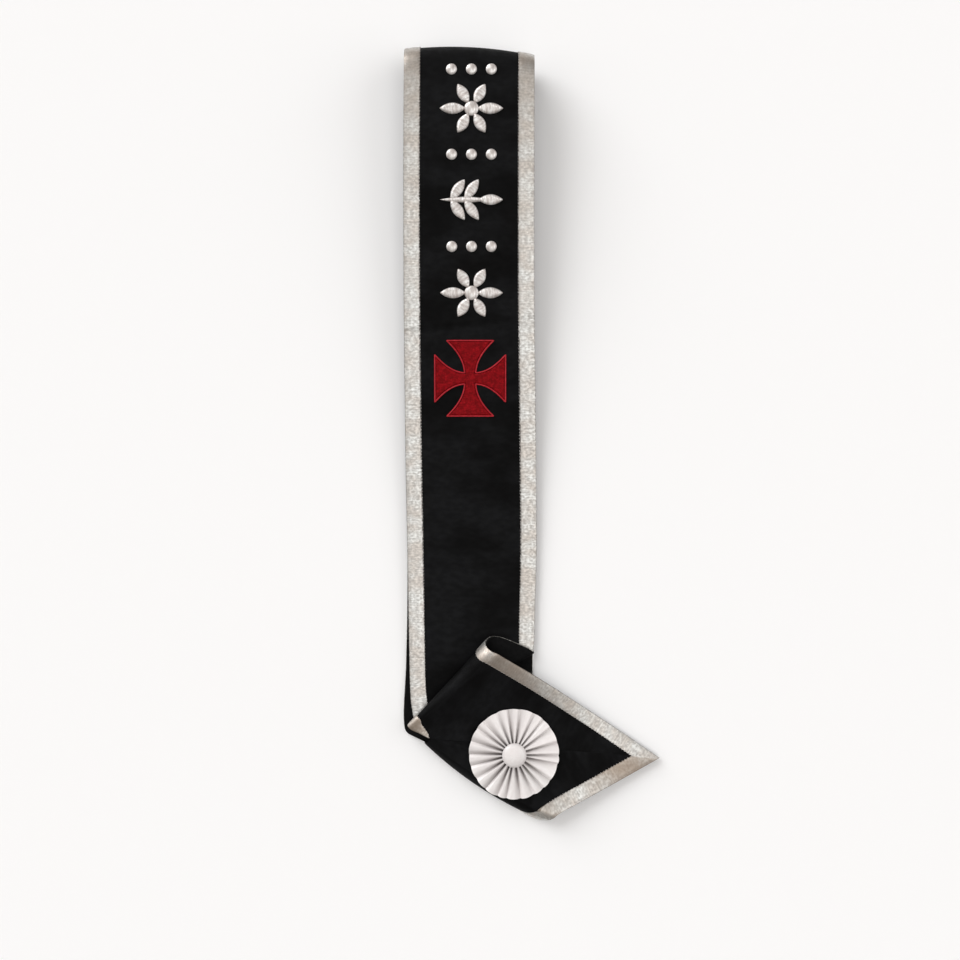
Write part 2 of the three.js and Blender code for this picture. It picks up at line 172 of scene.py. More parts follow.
@dataclass(frozen=True)
class Section:
    """One ruling of the ribbon from its inner to its outer edge, in millimetres."""

    inner: Place
    outer: Place
    crown: float = 0.0


@dataclass(frozen=True)
class TurnEdge:
    """Where one edge of the ribbon enters and leaves a fold, and how far it bulges."""

    start: Place
    end: Place
    bulge: Pair

    def at(self, angle: float) -> Array:
        """Give the edge's place in the fold.

        Args:
            angle: The angle turned through, from 0 to pi.

        Returns:
            The place, in millimetres.
        """
        start, end = np.array(self.start), np.array(self.end)
        bulge = np.array([*self.bulge, 0.0])
        return (start + end) / 2 + (start - end) / 2 * math.cos(angle) + bulge * math.sin(angle)


@dataclass(frozen=True)
class Turn:
    """One fold of the ribbon, as a row of rulings."""

    inner: TurnEdge
    outer: TurnEdge
    bow: Pair
    arcs: int


@dataclass(frozen=True)
class Relief:
    """The fine relief of the front length: crossing waves and two creases from storage.

    Sizes are in millimetres, and a wave's length is given for each radian.
    """

    wave_height: float = 0.35
    long_wave: float = 21.0
    long_bend: Pair = (0.9, 30.0)
    long_patches: Pair = (37.0, 90.0)
    short_share: float = 0.6
    short_wave: Pair = (9.5, 26.0)
    short_patches: float = 47.0
    crease_depth: float = 0.7
    crease_width: float = 2.3
    crease_start: Pair = (-11.4, 99.5)
    crease_slope: float = 8.6 / 84.2
    lip_share: float = 0.45
    lip_away: float = 2.6
    lip_width: float = 1.6
    faint_share: float = 0.35
    faint_place: float = -71.0
    faint_bend: Pair = (6.0, 40.0)
    faint_from: Pair = (2.0, 0.6)

    def height(self, x: Array, y: Array, v: Array) -> Array:
        """Give the relief of the front length.

        Args:
            x: Plan places across, in millimetres.
            y: Plan places along, in millimetres.
            v: Shares across the ribbon.

        Returns:
            Heights above the smooth cloth, in millimetres.
        """
        bend = self.long_bend[0] * np.sin(x / self.long_bend[1])
        patches = np.sin(x / self.long_patches[0] + y / self.long_patches[1])
        waves = np.sin(y / self.long_wave + bend) * patches
        short = np.sin(y / self.short_wave[0] + x / self.short_wave[1])
        waves += self.short_share * short * np.sin(y / self.short_patches)
        crease = self.crease_start[1] + self.crease_slope * (x - self.crease_start[0])
        away = (y - crease) / self.crease_width
        lip = self.lip_share * np.exp(-(((away - self.lip_away) / self.lip_width) ** 2))
        faint = self.faint_place - self.faint_bend[0] * np.sin(x / self.faint_bend[1])
        faint_away = (y - faint) / self.crease_width
        faint_part = np.clip(v * self.faint_from[0] - self.faint_from[1], 0, 1)
        creases = lip - np.exp(-(away**2)) - self.faint_share * np.exp(-(faint_away**2)) * faint_part
        return self.wave_height * waves + self.crease_depth * creases


@dataclass
class RibbonMap:
    """The folded ribbon: every ruling along it, and the places between them."""

    roll_top: float = 40.5
    roll_bow: float = 4.6
    normal_step: float = 0.002
    least_length: float = 1e-15
    halvings: int = 34
    front_fade_in: Pair = (2.0, 1.5)
    front_fade_out: Pair = (5.0, 2.0)
    seam_depth: float = 0.3
    seam_width: float = 0.012
    fine: Relief = Relief()
    inner: Array = field(init=False)
    outer: Array = field(init=False)
    bow: Array = field(init=False)
    front_start: int = field(init=False)
    front_end: int = field(init=False)
    lower_fold_start: int = field(init=False)
    loop_start: int = field(init=False)

    def __post_init__(self) -> None:
        """Work the rulings out from the rows for each length and each fold."""
        rows: list[tuple[Array, Array, Array]] = []
        mitre = Section((-88.6, -264.6, CLOTH.panel), (112, -282.6, 4), 2.6)
        self._add_sections(rows, [mitre, *self._upper_panel()])
        self.loop_start = len(rows)
        self._add_turn(rows, self._loop_fold())
        self._add_sections(rows, self._turned_piece())
        self._add_turn(rows, self._hidden_fold())
        self.front_start = len(rows)
        self._add_sections(rows, self._front_length())
        roll = self._rolled_end()
        self.front_end = len(rows) + roll.arcs // 2
        self._add_turn(rows, roll)
        self._add_sections(rows, self._back_length())
        self.lower_fold_start = len(rows)
        self._add_turn(rows, self._lower_fold())
        self._add_sections(rows, [*self._lower_panel(), mitre])
        self.inner = np.array([row[0] for row in rows]) * MM
        self.outer = np.array([row[1] for row in rows]) * MM
        self.bow = np.array([row[2] for row in rows]) * MM

    @staticmethod
    def _upper_panel() -> list[Section]:
        """Return the sections from the mitre to the soft loop."""
        return [
            Section((-93.4, -262.1, CLOTH.panel), (60, -247, 7), 1.6),
            Section((-98.6, -259.4, CLOTH.panel), (11.5, -214.5, 16.5)),
            Section((-103.5, -257.1, CLOTH.panel), (-21, -194, 25.5)),
        ]

    @staticmethod
    def _loop_fold() -> Turn:
        """Return the soft loop from the tip panel to the turned piece."""
        return Turn(
            TurnEdge((-106, -255.6, CLOTH.panel), (-106, -254.8, CLOTH.turned), (-1.7, 1.6)),
            TurnEdge((-31.5, -187.5, 29), (-28.6, -175.8, 10.5), (-9.7, 1.8)),
            bow=(0, 0),
            arcs=8,
        )

    @staticmethod
    def _turned_piece() -> list[Section]:
        """Return the short piece that lies with its wrong side up."""
        return [Section((-105.6, -255.2, CLOTH.turned), (-13.7, -181.4, CLOTH.turned + 0.6))]

    @staticmethod
    def _hidden_fold() -> Turn:
        """Return the fold under the panel, from the turned piece to the front length."""
        return Turn(
            TurnEdge((-105.2, -255.7, CLOTH.turned), (-104, -254.6, CLOTH.front), (1.4, -2.1)),
            TurnEdge((-0.8, -187.4, CLOTH.turned), (1.4, -188.2, CLOTH.front), (1.4, -2.1)),
            bow=(0, 0),
            arcs=8,
        )

    @staticmethod
    def _front_length() -> list[Section]:
        """Return the sections of the front length, up to the rolled end."""
        return [
            Section((-103.4, -249.6, CLOTH.front), (1.8, -184, CLOTH.front)),
            Section((-105.8, -232, CLOTH.front), (2.3, -175.6, CLOTH.front)),
            Section((-107.3, -183.6, CLOTH.front), (2.7, -152.7, CLOTH.front)),
            Section((-108.6, -108.7, 4.5), (4, -108.7, 4.5)),
            Section((-109.9, -38.2, 7.5), (3.7, -38.2, 7.5)),
            Section((-110.6, 31.6, 13.5), (2.8, 31.6, 13.5)),
            Section((-110.9, 117.7, 23.5), (1.5, 117.7, 23.5)),
            Section((-110.7, 202.3, 33), (1, 202.3, 33)),
            Section((-110.2, 269.4, 38.8), (0.9, 269.4, 38.8)),
        ]

    def _rolled_end(self) -> Turn:
        """Return the rolled end, from the front length down to the back length."""
        radius = (self.roll_top - CLOTH.back) / 2
        return Turn(
            TurnEdge((-109.8, 314.4, self.roll_top), (-109.6, 314.4, CLOTH.back), (0, radius)),
            TurnEdge((0.9, 309.2, self.roll_top), (0.8, 309.2, CLOTH.back), (0, radius)),
            bow=(0, self.roll_bow),
            arcs=12,
        )

    @staticmethod
    def _back_length() -> list[Section]:
        """Return the sections of the back length, down to the lower fold."""
        return [
            Section((-109.6, 300, CLOTH.back), (0.8, 300, CLOTH.back)),
            Section((-109.6, 280, CLOTH.back), (0.8, 280, CLOTH.back)),
            Section((-109.4, 32.3, CLOTH.back), (1.1, 32.3, CLOTH.back)),
            Section((-109.1, -144.1, CLOTH.back), (1.5, -144.1, CLOTH.back)),
            Section((-110.3, -201.4, CLOTH.back), (0.6, -223.5, CLOTH.back)),
            Section((-112.1, -251.7, CLOTH.back), (0.6, -285.2, CLOTH.back)),
            Section((-110, -260.3, CLOTH.back), (0.6, -305.5, CLOTH.back)),
            Section((-99.5, -265.8, CLOTH.back), (0.9, -319.5, CLOTH.back)),
        ]

    @staticmethod
    def _lower_fold() -> Turn:
        """Return the fold from the back length up to the tip panel."""
        return Turn(
            TurnEdge((-93.4, -267.4, CLOTH.back), (-90.2, -266.4, CLOTH.panel), (-0.8, -2.9)),
            TurnEdge((1.9, -328.8, CLOTH.back), (21.6, -331.1, 12.5), (-4, -5.4)),
            bow=(-2.9, -4.4),
            arcs=8,
        )

    @staticmethod
    def _lower_panel() -> list[Section]:
        """Return the sections from the lower fold to the mitre."""
        return [
            Section((-89.4, -265.6, CLOTH.panel), (42.3, -320.3, 9.5)),
            Section((-88.9, -265, CLOTH.panel), (77.8, -301.4, 6.2), 1.6),
        ]

    @staticmethod
    def _add_sections(rows: list, sections: list[Section]) -> None:
        """Append sections to the rows of rulings."""
        for section in sections:
            bow = np.array([0.0, 0.0, section.crown])
            rows.append((np.array(section.inner, float), np.array(section.outer, float), bow))

    @staticmethod
    def _add_turn(rows: list, turn: Turn) -> None:
        """Append a fold's rulings to the rows."""
        for i in range(turn.arcs + 1):
            angle = math.pi * i / turn.arcs
            rows.append((turn.inner.at(angle), turn.outer.at(angle), np.array([*turn.bow, 0.0])))

    @property
    def last(self) -> int:
        """Return the number of the last ruling."""
        return len(self.inner) - 1

    @staticmethod
    def spline(points: Array, s: Array) -> Array:
        """Run a centripetal spline through points.

        Args:
            points: The points, one row each.
            s: Where to read it, counted in points.

        Returns:
            The places, with a last axis of three.
        """
        index = np.clip(np.floor(s).astype(int), 0, len(points) - 2)
        f = (s - index)[..., None]
        ends = (2 * points[0] - points[1], 2 * points[-1] - points[-2])
        padded = np.vstack([ends[0], points, ends[1]])
        p0, p1, p2, p3 = (padded[index + k] for k in range(4))
        gaps = [np.linalg.norm(b - a, axis=-1, keepdims=True) for a, b in ((p0, p1), (p1, p2), (p2, p3))]
        d0, d1, d2 = (np.sqrt(np.maximum(gap, LEAST_GAP)) for gap in gaps)
        t1 = ((p1 - p0) / d0 - (p2 - p0) / (d0 + d1) + (p2 - p1) / d1) * d1
        t2 = ((p2 - p1) / d1 - (p3 - p1) / (d1 + d2) + (p3 - p2) / d2) * d1
        c2 = 3 * (p2 - p1) - 2 * t1 - t2
        c3 = 2 * (p1 - p2) + t1 + t2
        return p1 + f * (t1 + f * (c2 + f * c3))

    def edges(self, s: Array) -> tuple[Array, Array]:
        """Return the places of the inner and the outer edge at stations s."""
        s = np.clip(s, 0, self.last)
        return self.spline(self.inner, s), self.spline(self.outer, s)

    def smooth_point(self, s: Array, v: Array) -> Array:
        """Give the middle of the cloth without its fine relief.

        Args:
            s: Stations, counted in rulings.
            v: Shares across, from 0 at the inner edge to 1 at the outer edge.

        Returns:
            The places, with a last axis of three.
        """
        inner, outer = self.edges(s)
        index = np.clip(np.floor(s).astype(int), 0, self.last - 1)
        f = np.clip(s - index, 0, 1)
        f = (f * f * (3 - 2 * f))[..., None]
        bow = self.bow[index] * (1 - f) + self.bow[index + 1] * f
        share = v[..., None]
        point = inner * (1 - share) + outer * share + bow * 4 * share * (1 - share)
        point[..., 2] = np.maximum(point[..., 2], CLOTH.back * MM)
        return point

    def smooth_normal(self, s: Array, v: Array) -> Array:
        """Give the right side's direction, averaged over both sides of the mitre.

        Args:
            s: Stations, counted in rulings.
            v: Shares across the ribbon.

        Returns:
            Directions of length one.
        """
        at_mitre = (s <= 0) | (s >= self.last)
        first = self._one_sided(np.where(at_mitre, 0.0, s), v)
        if at_mitre.any():
            other = self._one_sided(np.where(at_mitre, float(self.last), s), v)
            first = np.where(at_mitre[..., None], first + other, first)
        return unit(first)

    def _one_sided(self, s: Array, v: Array) -> Array:
        """Give the right side's direction, from differences inside the ribbon's ends.

        Args:
            s: Stations, counted in rulings.
            v: Shares across the ribbon.

        Returns:
            Directions of length one.
        """
        step = self.normal_step
        before = self.smooth_point(np.maximum(s - step, 0), v)
        after = self.smooth_point(np.minimum(s + step, self.last), v)
        across = self.smooth_point(s, v + step) - self.smooth_point(s, v - step)
        return unit(np.cross(across, after - before), self.least_length)

    def relief(self, s: Array, v: Array, point: Array) -> Array:
        """Give the fine relief of the cloth: that of the front length, and the mitre's seam.

        Args:
            s: Stations, counted in rulings.
            v: Shares across the ribbon.
            point: The smooth places there.

        Returns:
            Heights above the smooth cloth, in metres.
        """
        x, y = point[..., 0] / MM, point[..., 1] / MM
        start = self.front_start + self.front_fade_in[0]
        end = self.front_end - self.front_fade_out[0]
        on_front = np.clip((s - start) / self.front_fade_in[1], 0, 1)
        on_front = on_front * np.clip((end - s) / self.front_fade_out[1], 0, 1)
        height = self.fine.height(x, y, v) * on_front
        from_mitre = np.minimum(s, self.last - s) / self.seam_width
        height -= self.seam_depth * np.exp(-(from_mitre**2))
        return height * MM

    def place(self, s: Array, v: Array, height: Array | float) -> Array:
        """Give a place above or below the cloth.

        Args:
            s: Stations, counted in rulings.
            v: Shares across the ribbon.
            height: Metres above the middle of the cloth, on its right side.

        Returns:
            The places, with a last axis of three.
        """
        s, v = np.broadcast_arrays(np.asarray(s, float), np.asarray(v, float))
        point = self.smooth_point(s, v)
        lift = (np.asarray(height) + self.relief(s, v, point))[..., None]
        return point + self.smooth_normal(s, v) * lift

    def stations(self, step: float, least: int) -> Array:
        """List stations along the whole loop.

        Args:
            step: The longest distance between two stations, in metres.
            least: The fewest steps between two rulings.

        Returns:
            The stations from 0 to the last ruling.
        """
        found = [0.0]
        for i in range(self.last):
            reach = max(
                np.linalg.norm(self.inner[i + 1] - self.inner[i]),
                np.linalg.norm(self.outer[i + 1] - self.outer[i]),
            )
            count = max(least, math.ceil(reach / step))
            found.extend(i + (k + 1) / count for k in range(count))
        return np.array(found)

    def flat_places(self, s: Array, v: Array) -> Array:
        """Lay the ribbon flat again, for patterns that follow its edges.

        Args:
            s: Increasing stations.
            v: Shares across the ribbon.

        Returns:
            Metres along and across the flat ribbon, for each station and share.
        """
        outer = self.edges(s)[1]
        along = lengths_along(outer)
        tangent = unit(np.gradient(outer, axis=0))
        grid_s, grid_v = np.meshgrid(s, v, indexing="ij")
        reach = self.smooth_point(grid_s, grid_v) - outer[:, None, :]
        shift = (reach * tangent[:, None, :]).sum(-1)
        across = np.sqrt(np.maximum((reach**2).sum(-1) - shift**2, 0))
        return np.stack([along[:, None] + shift, across], axis=-1)

    def find_on_front(self, x: Array, y: Array) -> tuple[Array, Array]:
        """Find where on the front length plan places lie.

        Args:
            x: Plan places across, in metres.
            y: Plan places along, in metres.

        Returns:
            The stations and the shares across.
        """
        low = np.full(x.shape, float(self.front_start))
        high = np.full(x.shape, float(self.front_end))
        for _ in range(self.halvings):
            s = (low + high) / 2
            inner, outer = self.edges(s)
            v = (x - inner[..., 0]) / (outer[..., 0] - inner[..., 0])
            below = self.smooth_point(s, v)[..., 1] < y
            low = np.where(below, s, low)
            high = np.where(below, high, s)
        return (low + high) / 2, v

    def lay_on_front(self, points: Array) -> Array:
        """Lay flat points on the front length.

        Args:
            points: Plan x and y, and height above the ribbon's right side, in metres.

        Returns:
            The places in the frame.
        """
        s, v = self.find_on_front(points[:, 0], points[:, 1])
        return self.place(s, v, CLOTH.half_band * MM + points[:, 2])


@dataclass
class Mesh:
    """Points and faces gathered for one piece, with flat places for patterns and the amount of painted shade
    at each point.
    """

    points: list[Array] = field(default_factory=list)
    faces: list[Face] = field(default_factory=list)
    corners: list[Pair] = field(default_factory=list)
    materials: list[int] = field(default_factory=list)
    folds: list[Array] = field(default_factory=list)
    count: int = 0

    def add(
        self,
        points: Array,
        faces: list[Face],
        flat: Array,
        material: int = 0,
    ) -> None:
        """Add one body.

        Args:
            points: Its points, one row each.
            faces: Its faces, counted from its own first point.
            flat: A flat place for each point.
            material: Which of the piece's materials it has.
        """
        start = self.count
        self.points.append(points)
        for face in faces:
            self.faces.append(tuple(start + i for i in face))
            self.corners.extend((float(flat[i][0]), float(flat[i][1])) for i in face)
            self.materials.append(material)
        self.count += len(points)

    def add_strip(self, rings: Array, flat: Array, closed: bool, right: int | None = None) -> None:
        """Fill an empty mesh with one strip of rings.

        Args:
            rings: Its points, ring by ring.
            flat: A flat place for each point, with one ring more where the strip is closed.
            closed: Whether the last ring meets the first; otherwise both ends are capped.
            right: How many faces round a ring are the cloth's right side; all of them if not given.
        """
        rounds, count = rings.shape[:2]
        self.points = [rings.reshape(-1, 3)]
        self.faces = ring_faces(rounds, count, closed)
        for number, face in enumerate(self.faces):
            i, j = divmod(number, count)
            if len(face) == 4:
                after = (j + 1) % count
                places = ((i, j), (i, after), (i + 1, after), (i + 1, j))
            else:
                places = tuple(divmod(corner, count) for corner in face)
            self.corners.extend(tuple(flat[place]) for place in places)
            side = Side.RIGHT if right is None or j < right else Side.WRONG
            self.materials.append(side.value)

    def build(self, name: str, materials: list[Material], angle: float = 40.0) -> Piece:
        """Make the Blender object.

        Args:
            name: The piece's name.
            materials: Its materials.
            angle: Edges sharper than this many degrees stay sharp.

        Returns:
            The new object, at the origin.
        """
        mesh = bpy.data.meshes.new(name)
        mesh.from_pydata(np.vstack(self.points).tolist(), [], self.faces)
        layer = mesh.uv_layers.new(name="flat")
        layer.data.foreach_set("uv", np.array(self.corners, np.float32).ravel())
        for material in materials:
            mesh.materials.append(material)
        mesh.polygons.foreach_set("material_index", self.materials)
        # Painted shade: one value for each point, which the finishes use to darken the colour.
        if self.folds:
            shade = mesh.attributes.new("fold", "FLOAT", "POINT")
            shade.data.foreach_set("value", np.concatenate(self.folds).astype(np.float32))
        mesh.update()
        piece = bpy.data.objects.new(name, mesh)
        bpy.context.scene.collection.objects.link(piece)
        select_only(piece)
        bpy.ops.object.mode_set(mode="EDIT")
        bpy.ops.mesh.select_all(action="SELECT")
        bpy.ops.mesh.normals_make_consistent(inside=False)
        bpy.ops.object.mode_set(mode="OBJECT")
        bpy.ops.object.shade_smooth_by_angle(angle=math.radians(angle))
        return piece


def select_only(piece: Piece) -> None:
    """Select one object and make it the active one.

    Args:
        piece: The object.
    """
    bpy.ops.object.select_all(action="DESELECT")
    piece.select_set(True)
    bpy.context.view_layer.objects.active = piece


def ring_faces(rings: int, count: int, closed: bool) -> list[Face]:
    """List the faces between rings of points.

    Args:
        rings: How many rings there are.
        count: How many points each ring has.
        closed: Whether the last ring meets the first; otherwise both ends are capped.

    Returns:
        The faces, ring by ring.
    """
    faces: list[Face] = []
    for i in range(rings if closed else rings - 1):
        near, far = i * count, (i + 1) % rings * count
        for j in range(count):
            after = (j + 1) % count
            faces.append((near + j, near + after, far + after, far + j))
    if not closed:
        faces.append(tuple(range(count)))
        faces.append(tuple((rings - 1) * count + j for j in reversed(range(count))))
    return faces


def settle(piece: Piece, slot: Slot, *nodes: str) -> None:
    """Ride a piece on the sash, and hide the solids that it stands for.

    Args:
        piece: The piece.
        slot: The record's slot that it takes its finish from; not used.
        *nodes: The solids that it stands for; none for a piece that is only laid on.
    """
    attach(piece, BODY)
    if nodes:
        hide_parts(*nodes)
    LOG.info("%s: %d faces", piece.name, len(piece.data.polygons))


class Nodes:
    """A small helper that adds and links shader nodes in one tree."""

    def __init__(self, tree: bpy.types.NodeTree) -> None:
        """Keep the tree to work in."""
        self.tree = tree

    def add(self, kind: str, **values: object) -> bpy.types.Node:
        """Add a node.

        Args:
            kind: The node's type name.
            **values: Its own settings.

        Returns:
            The node.
        """
        node = self.tree.nodes.new(kind)
        for key, value in values.items():
            setattr(node, key, value)
        return node

    def link(self, start: Socket, end: Socket) -> None:
        """Link two sockets."""
        self.tree.links.new(start, end)

    def feed(self, value: object, socket: Socket) -> None:
        """Give a socket its value: linked from another socket, or set."""
        if isinstance(value, Socket):
            self.link(value, socket)
        elif value is not None:
            socket.default_value = value

    def group(self, tree: bpy.types.NodeTree, **values: object) -> bpy.types.NodeOutputs:
        """Place a group.

        Args:
            tree: The group.
            **values: Its inputs by name, sockets or numbers.

        Returns:
            Its outputs.
        """
        node = self.add("ShaderNodeGroup", node_tree=tree)
        for name, value in values.items():
            self.feed(value, node.inputs[name])
        return node.outputs

    def math(self, operation: str, a: object, b: object = None, c: object = None) -> Socket:
        """Add a Math node.

        Args:
            operation: What it does.
            a: Its first input, a socket or a number.
            b: Its second input.
            c: Its third input.

        Returns:
            Its output.
        """
        node = self.add("ShaderNodeMath", operation=operation)
        for value, socket in zip((a, b, c), node.inputs, strict=False):
            self.feed(value, socket)
        return node.outputs[0]

    def mix(self, factor: Socket, a: Socket | Place, b: Place) -> Socket:
        """Mix two colours.

        Args:
            factor: How much of the second there is.
            a: The first colour, a socket or a value.
            b: The second colour.

        Returns:
            The mixed colour.
        """
        node = self.add("ShaderNodeMix", data_type="RGBA")
        self.link(factor, node.inputs[0])
        self.feed(a if isinstance(a, Socket) else (*a, 1.0), node.inputs[6])
        self.feed((*b, 1.0), node.inputs[7])
        return node.outputs[2]

    def stretch(self, value: Socket, low: float, high: float) -> Socket:
        """Stretch a range of values to the one from 0 to 1.

        Args:
            value: The value.
            low: What becomes 0.
            high: What becomes 1.

        Returns:
            The stretched value.
        """
        node = self.add("ShaderNodeMapRange", interpolation_type="SMOOTHSTEP")
        self.link(value, node.inputs[0])
        node.inputs[1].default_value = low
        node.inputs[2].default_value = high
        return node.outputs[0]

    def noise(self, vector: Socket, scale: object, detail: float) -> Socket:
        """Add a noise texture.

        Args:
            vector: The places that it reads.
            scale: How fine it is, a socket or a number.
            detail: How many finer layers it has.

        Returns:
            Its value.
        """
        node = self.add("ShaderNodeTexNoise")
        self.link(vector, node.inputs["Vector"])
        self.feed(scale, node.inputs["Scale"])
        node.inputs["Detail"].default_value = detail
        return node.outputs["Fac"]

    def scaled(self, vector: Socket, scale: Place) -> Socket:
        """Scale a vector by its axes.

        Args:
            vector: The vector.
            scale: One factor for each axis.

        Returns:
            The scaled vector.
        """
        node = self.add("ShaderNodeMapping")
        self.link(vector, node.inputs["Vector"])
        node.inputs["Scale"].default_value = scale
        return node.outputs["Vector"]


class Effects:
    """Shader groups for the finishes, each built once and placed with a finish's own values."""

    WANDER_SCALE = 90.0
    THREAD_SHARE = 0.4
    RIDGE_HEIGHT = 0.35
    DASH_SCALE = 420.0
    DASH_RANGE = (0.3, 0.6)

    @staticmethod
    def _group(name: str, inputs: tuple[str, ...], outputs: tuple[str, ...]) -> tuple:
        """Start a group with a vector input named Place and number sockets.

        Args:
            name: The group's name.
            inputs: Its number inputs.
            outputs: Its number outputs.

        Returns:
            The new group, its nodes, the sockets that it reads and those that it fills.
        """
        tree = bpy.data.node_groups.new(name, "ShaderNodeTree")
        tree.interface.new_socket("Place", in_out="INPUT", socket_type="NodeSocketVector")
        for labels, way in ((inputs, "INPUT"), (outputs, "OUTPUT")):
            for label in labels:
                tree.interface.new_socket(label, in_out=way, socket_type="NodeSocketFloat")
        nodes = Nodes(tree)
        return tree, nodes, nodes.add("NodeGroupInput").outputs, nodes.add("NodeGroupOutput").inputs

    @classmethod
    @cache
    def weave(cls) -> bpy.types.NodeTree:
        """Return the weave group: warp and weft ridges from a flat place.

        Returns:
            A group with inputs Place, Along, Across and Wander, and output Height.
        """
        tree, nodes, inputs, outputs = cls._group("woven_ridges", ("Along", "Across", "Wander"), ("Height",))
        split = nodes.add("ShaderNodeSeparateXYZ")
        nodes.link(inputs["Place"], split.inputs[0])
        wander = nodes.noise(inputs["Place"], cls.WANDER_SCALE, detail=3)
        wander = nodes.math("MULTIPLY", wander, inputs["Wander"])
        along = nodes.math("MULTIPLY_ADD", split.outputs[0], inputs["Along"], wander)
        across = nodes.math("MULTIPLY_ADD", split.outputs[1], inputs["Across"], wander)
        ridges = nodes.math("SINE", nodes.math("MULTIPLY", along, math.tau))
        threads = nodes.math("SINE", nodes.math("MULTIPLY", across, math.tau))
        total = nodes.math("MULTIPLY_ADD", threads, cls.THREAD_SHARE, ridges)
        nodes.link(nodes.math("MULTIPLY_ADD", total, cls.RIDGE_HEIGHT, 0.5), outputs["Height"])
        return tree

    @classmethod
    @cache
    def mottle(cls) -> bpy.types.NodeTree:
        """Return the mottle group: broad patches, fine grain and painted glints on single bright threads.

        Returns:
            A group with inputs Place, Patch, Grain and Glint, and outputs Patches, Grains and Glints.
        """
        rows = (
            ("Patch", "Patches", 3.0, 0.34, 0.66),
            ("Grain", "Grains", 4.0, 0.32, 0.68),
            ("Glint", "Glints", 2.0, 0.62, 0.76),
        )
        tree, nodes, inputs, outputs = cls._group(
            "mottled_cloth", tuple(row[0] for row in rows), tuple(row[1] for row in rows)
        )
        for scale, target, detail, low, high in rows:
            noise = nodes.noise(inputs["Place"], inputs[scale], detail)
            nodes.link(nodes.stretch(noise, low, high), outputs[target])
        return tree

    @classmethod
    @cache
    def selvage(cls) -> bpy.types.NodeTree:
        """Return the selvage group: thin broken lines along both edges of a braid.

        Returns:
            A group with inputs Place, Width and Line, and output Mask, which is 1 in the lines.
        """
        tree, nodes, inputs, outputs = cls._group("selvage_lines", ("Width", "Line"), ("Mask",))
        split = nodes.add("ShaderNodeSeparateXYZ")
        nodes.link(inputs["Place"], split.inputs[0])
        middle = nodes.math("MULTIPLY", inputs["Width"], 0.5)
        away = nodes.math("ABSOLUTE", nodes.math("SUBTRACT", split.outputs[1], middle))
        inside = nodes.math("SUBTRACT", middle, away)
        dashes = nodes.stretch(nodes.noise(inputs["Place"], cls.DASH_SCALE, detail=2), *cls.DASH_RANGE)
        line = nodes.math("SUBTRACT", 1.0, nodes.math("DIVIDE", inside, inputs["Line"]))
        clipped = nodes.math("MINIMUM", nodes.math("MAXIMUM", line, 0.0), 1.0)
        nodes.link(nodes.math("MULTIPLY", clipped, dashes), outputs["Mask"])
        return tree


@dataclass(frozen=True)
class ClothFinish:
    """A woven finish: its colours in patches and grain, painted glints on single bright threads, and the
    ridges of its weave.
    """

    name: str
    dark: Place
    light: Place
    deep: Place
    roughness: float
    bright: Place = (0.9, 0.9, 0.9)
    metallic: float = 0.0
    sheen: float = 0.0
    specular: float = 0.5
    patch: float = 30.0
    grain: float = 400.0
    glint: float = 500.0
    pits: float = 0.55
    glints: float = 0.0
    stretch: Pair = (1.0, 1.0)
    ribs: float = 1500.0
    threads: float = 900.0
    wander: float = 0.5
    rib_share: float = 0.0
    bump: float = 0.4
    relief: float = 0.15
    grain_relief: float = 0.6
    grain_gloss: float = 0.14
    edge_shade: float = 0.3
    edge_lines: Pair | None = None
    fold_shade: Place | None = None

    def build(self) -> Material:
        """Make the material.

        Returns:
            The material, which reads the piece's flat map.
        """
        material = bpy.data.materials.new(self.name)
        material.use_nodes = True
        nodes = Nodes(material.node_tree)
        shader = material.node_tree.nodes["Principled BSDF"]
        shader.inputs["Metallic"].default_value = self.metallic
        shader.inputs["Sheen Weight"].default_value = self.sheen
        shader.inputs["Specular IOR Level"].default_value = self.specular
        flat = nodes.add("ShaderNodeUVMap", uv_map="flat").outputs[0]
        mottle = nodes.group(
            Effects.mottle(),
            Place=nodes.scaled(flat, (*self.stretch, 1.0)),
            Patch=self.patch,
            Grain=self.grain,
            Glint=self.glint,
        )
        ridges = nodes.group(
            Effects.weave(), Place=flat, Along=self.ribs, Across=self.threads, Wander=self.wander
        )["Height"]
        grains = mottle["Grains"]
        colour = nodes.mix(mottle["Patches"], self.dark, self.light)
        fine = nodes.math("MULTIPLY", grains, 1 - self.rib_share)
        fine = nodes.math("MULTIPLY_ADD", ridges, self.rib_share, fine)
        pits = nodes.math("MULTIPLY", nodes.math("SUBTRACT", 1.0, fine), self.pits)
        colour = nodes.mix(pits, colour, self.deep)
        # Painted glints: small spots of the colour are lightened towards the bright colour.
        if self.glints:
            colour = nodes.mix(nodes.math("MULTIPLY", mottle["Glints"], self.glints), colour, self.bright)
        if self.edge_lines:
            width, line = self.edge_lines
            selvage = nodes.group(Effects.selvage(), Place=flat, Width=width, Line=line)
            colour = nodes.mix(selvage["Mask"], colour, tuple(part * self.edge_shade for part in self.deep))
        # Painted shade: the colour is mixed towards the shade colour by the piece's painted shade values.
        if self.fold_shade:
            fold = nodes.add("ShaderNodeAttribute", attribute_name="fold").outputs["Fac"]
            colour = nodes.mix(fold, colour, self.fold_shade)
        nodes.link(colour, shader.inputs["Base Color"])
        rough = self.roughness + self.grain_gloss / 2
        nodes.link(nodes.math("MULTIPLY_ADD", grains, -self.grain_gloss, rough), shader.inputs["Roughness"])
        bump = nodes.add("ShaderNodeBump")
        bump.inputs["Strength"].default_value = self.bump
        bump.inputs["Distance"].default_value = self.relief * MM
        nodes.link(nodes.math("MULTIPLY_ADD", grains, self.grain_relief, ridges), bump.inputs["Height"])
        nodes.link(bump.outputs[0], shader.inputs["Normal"])
        return material


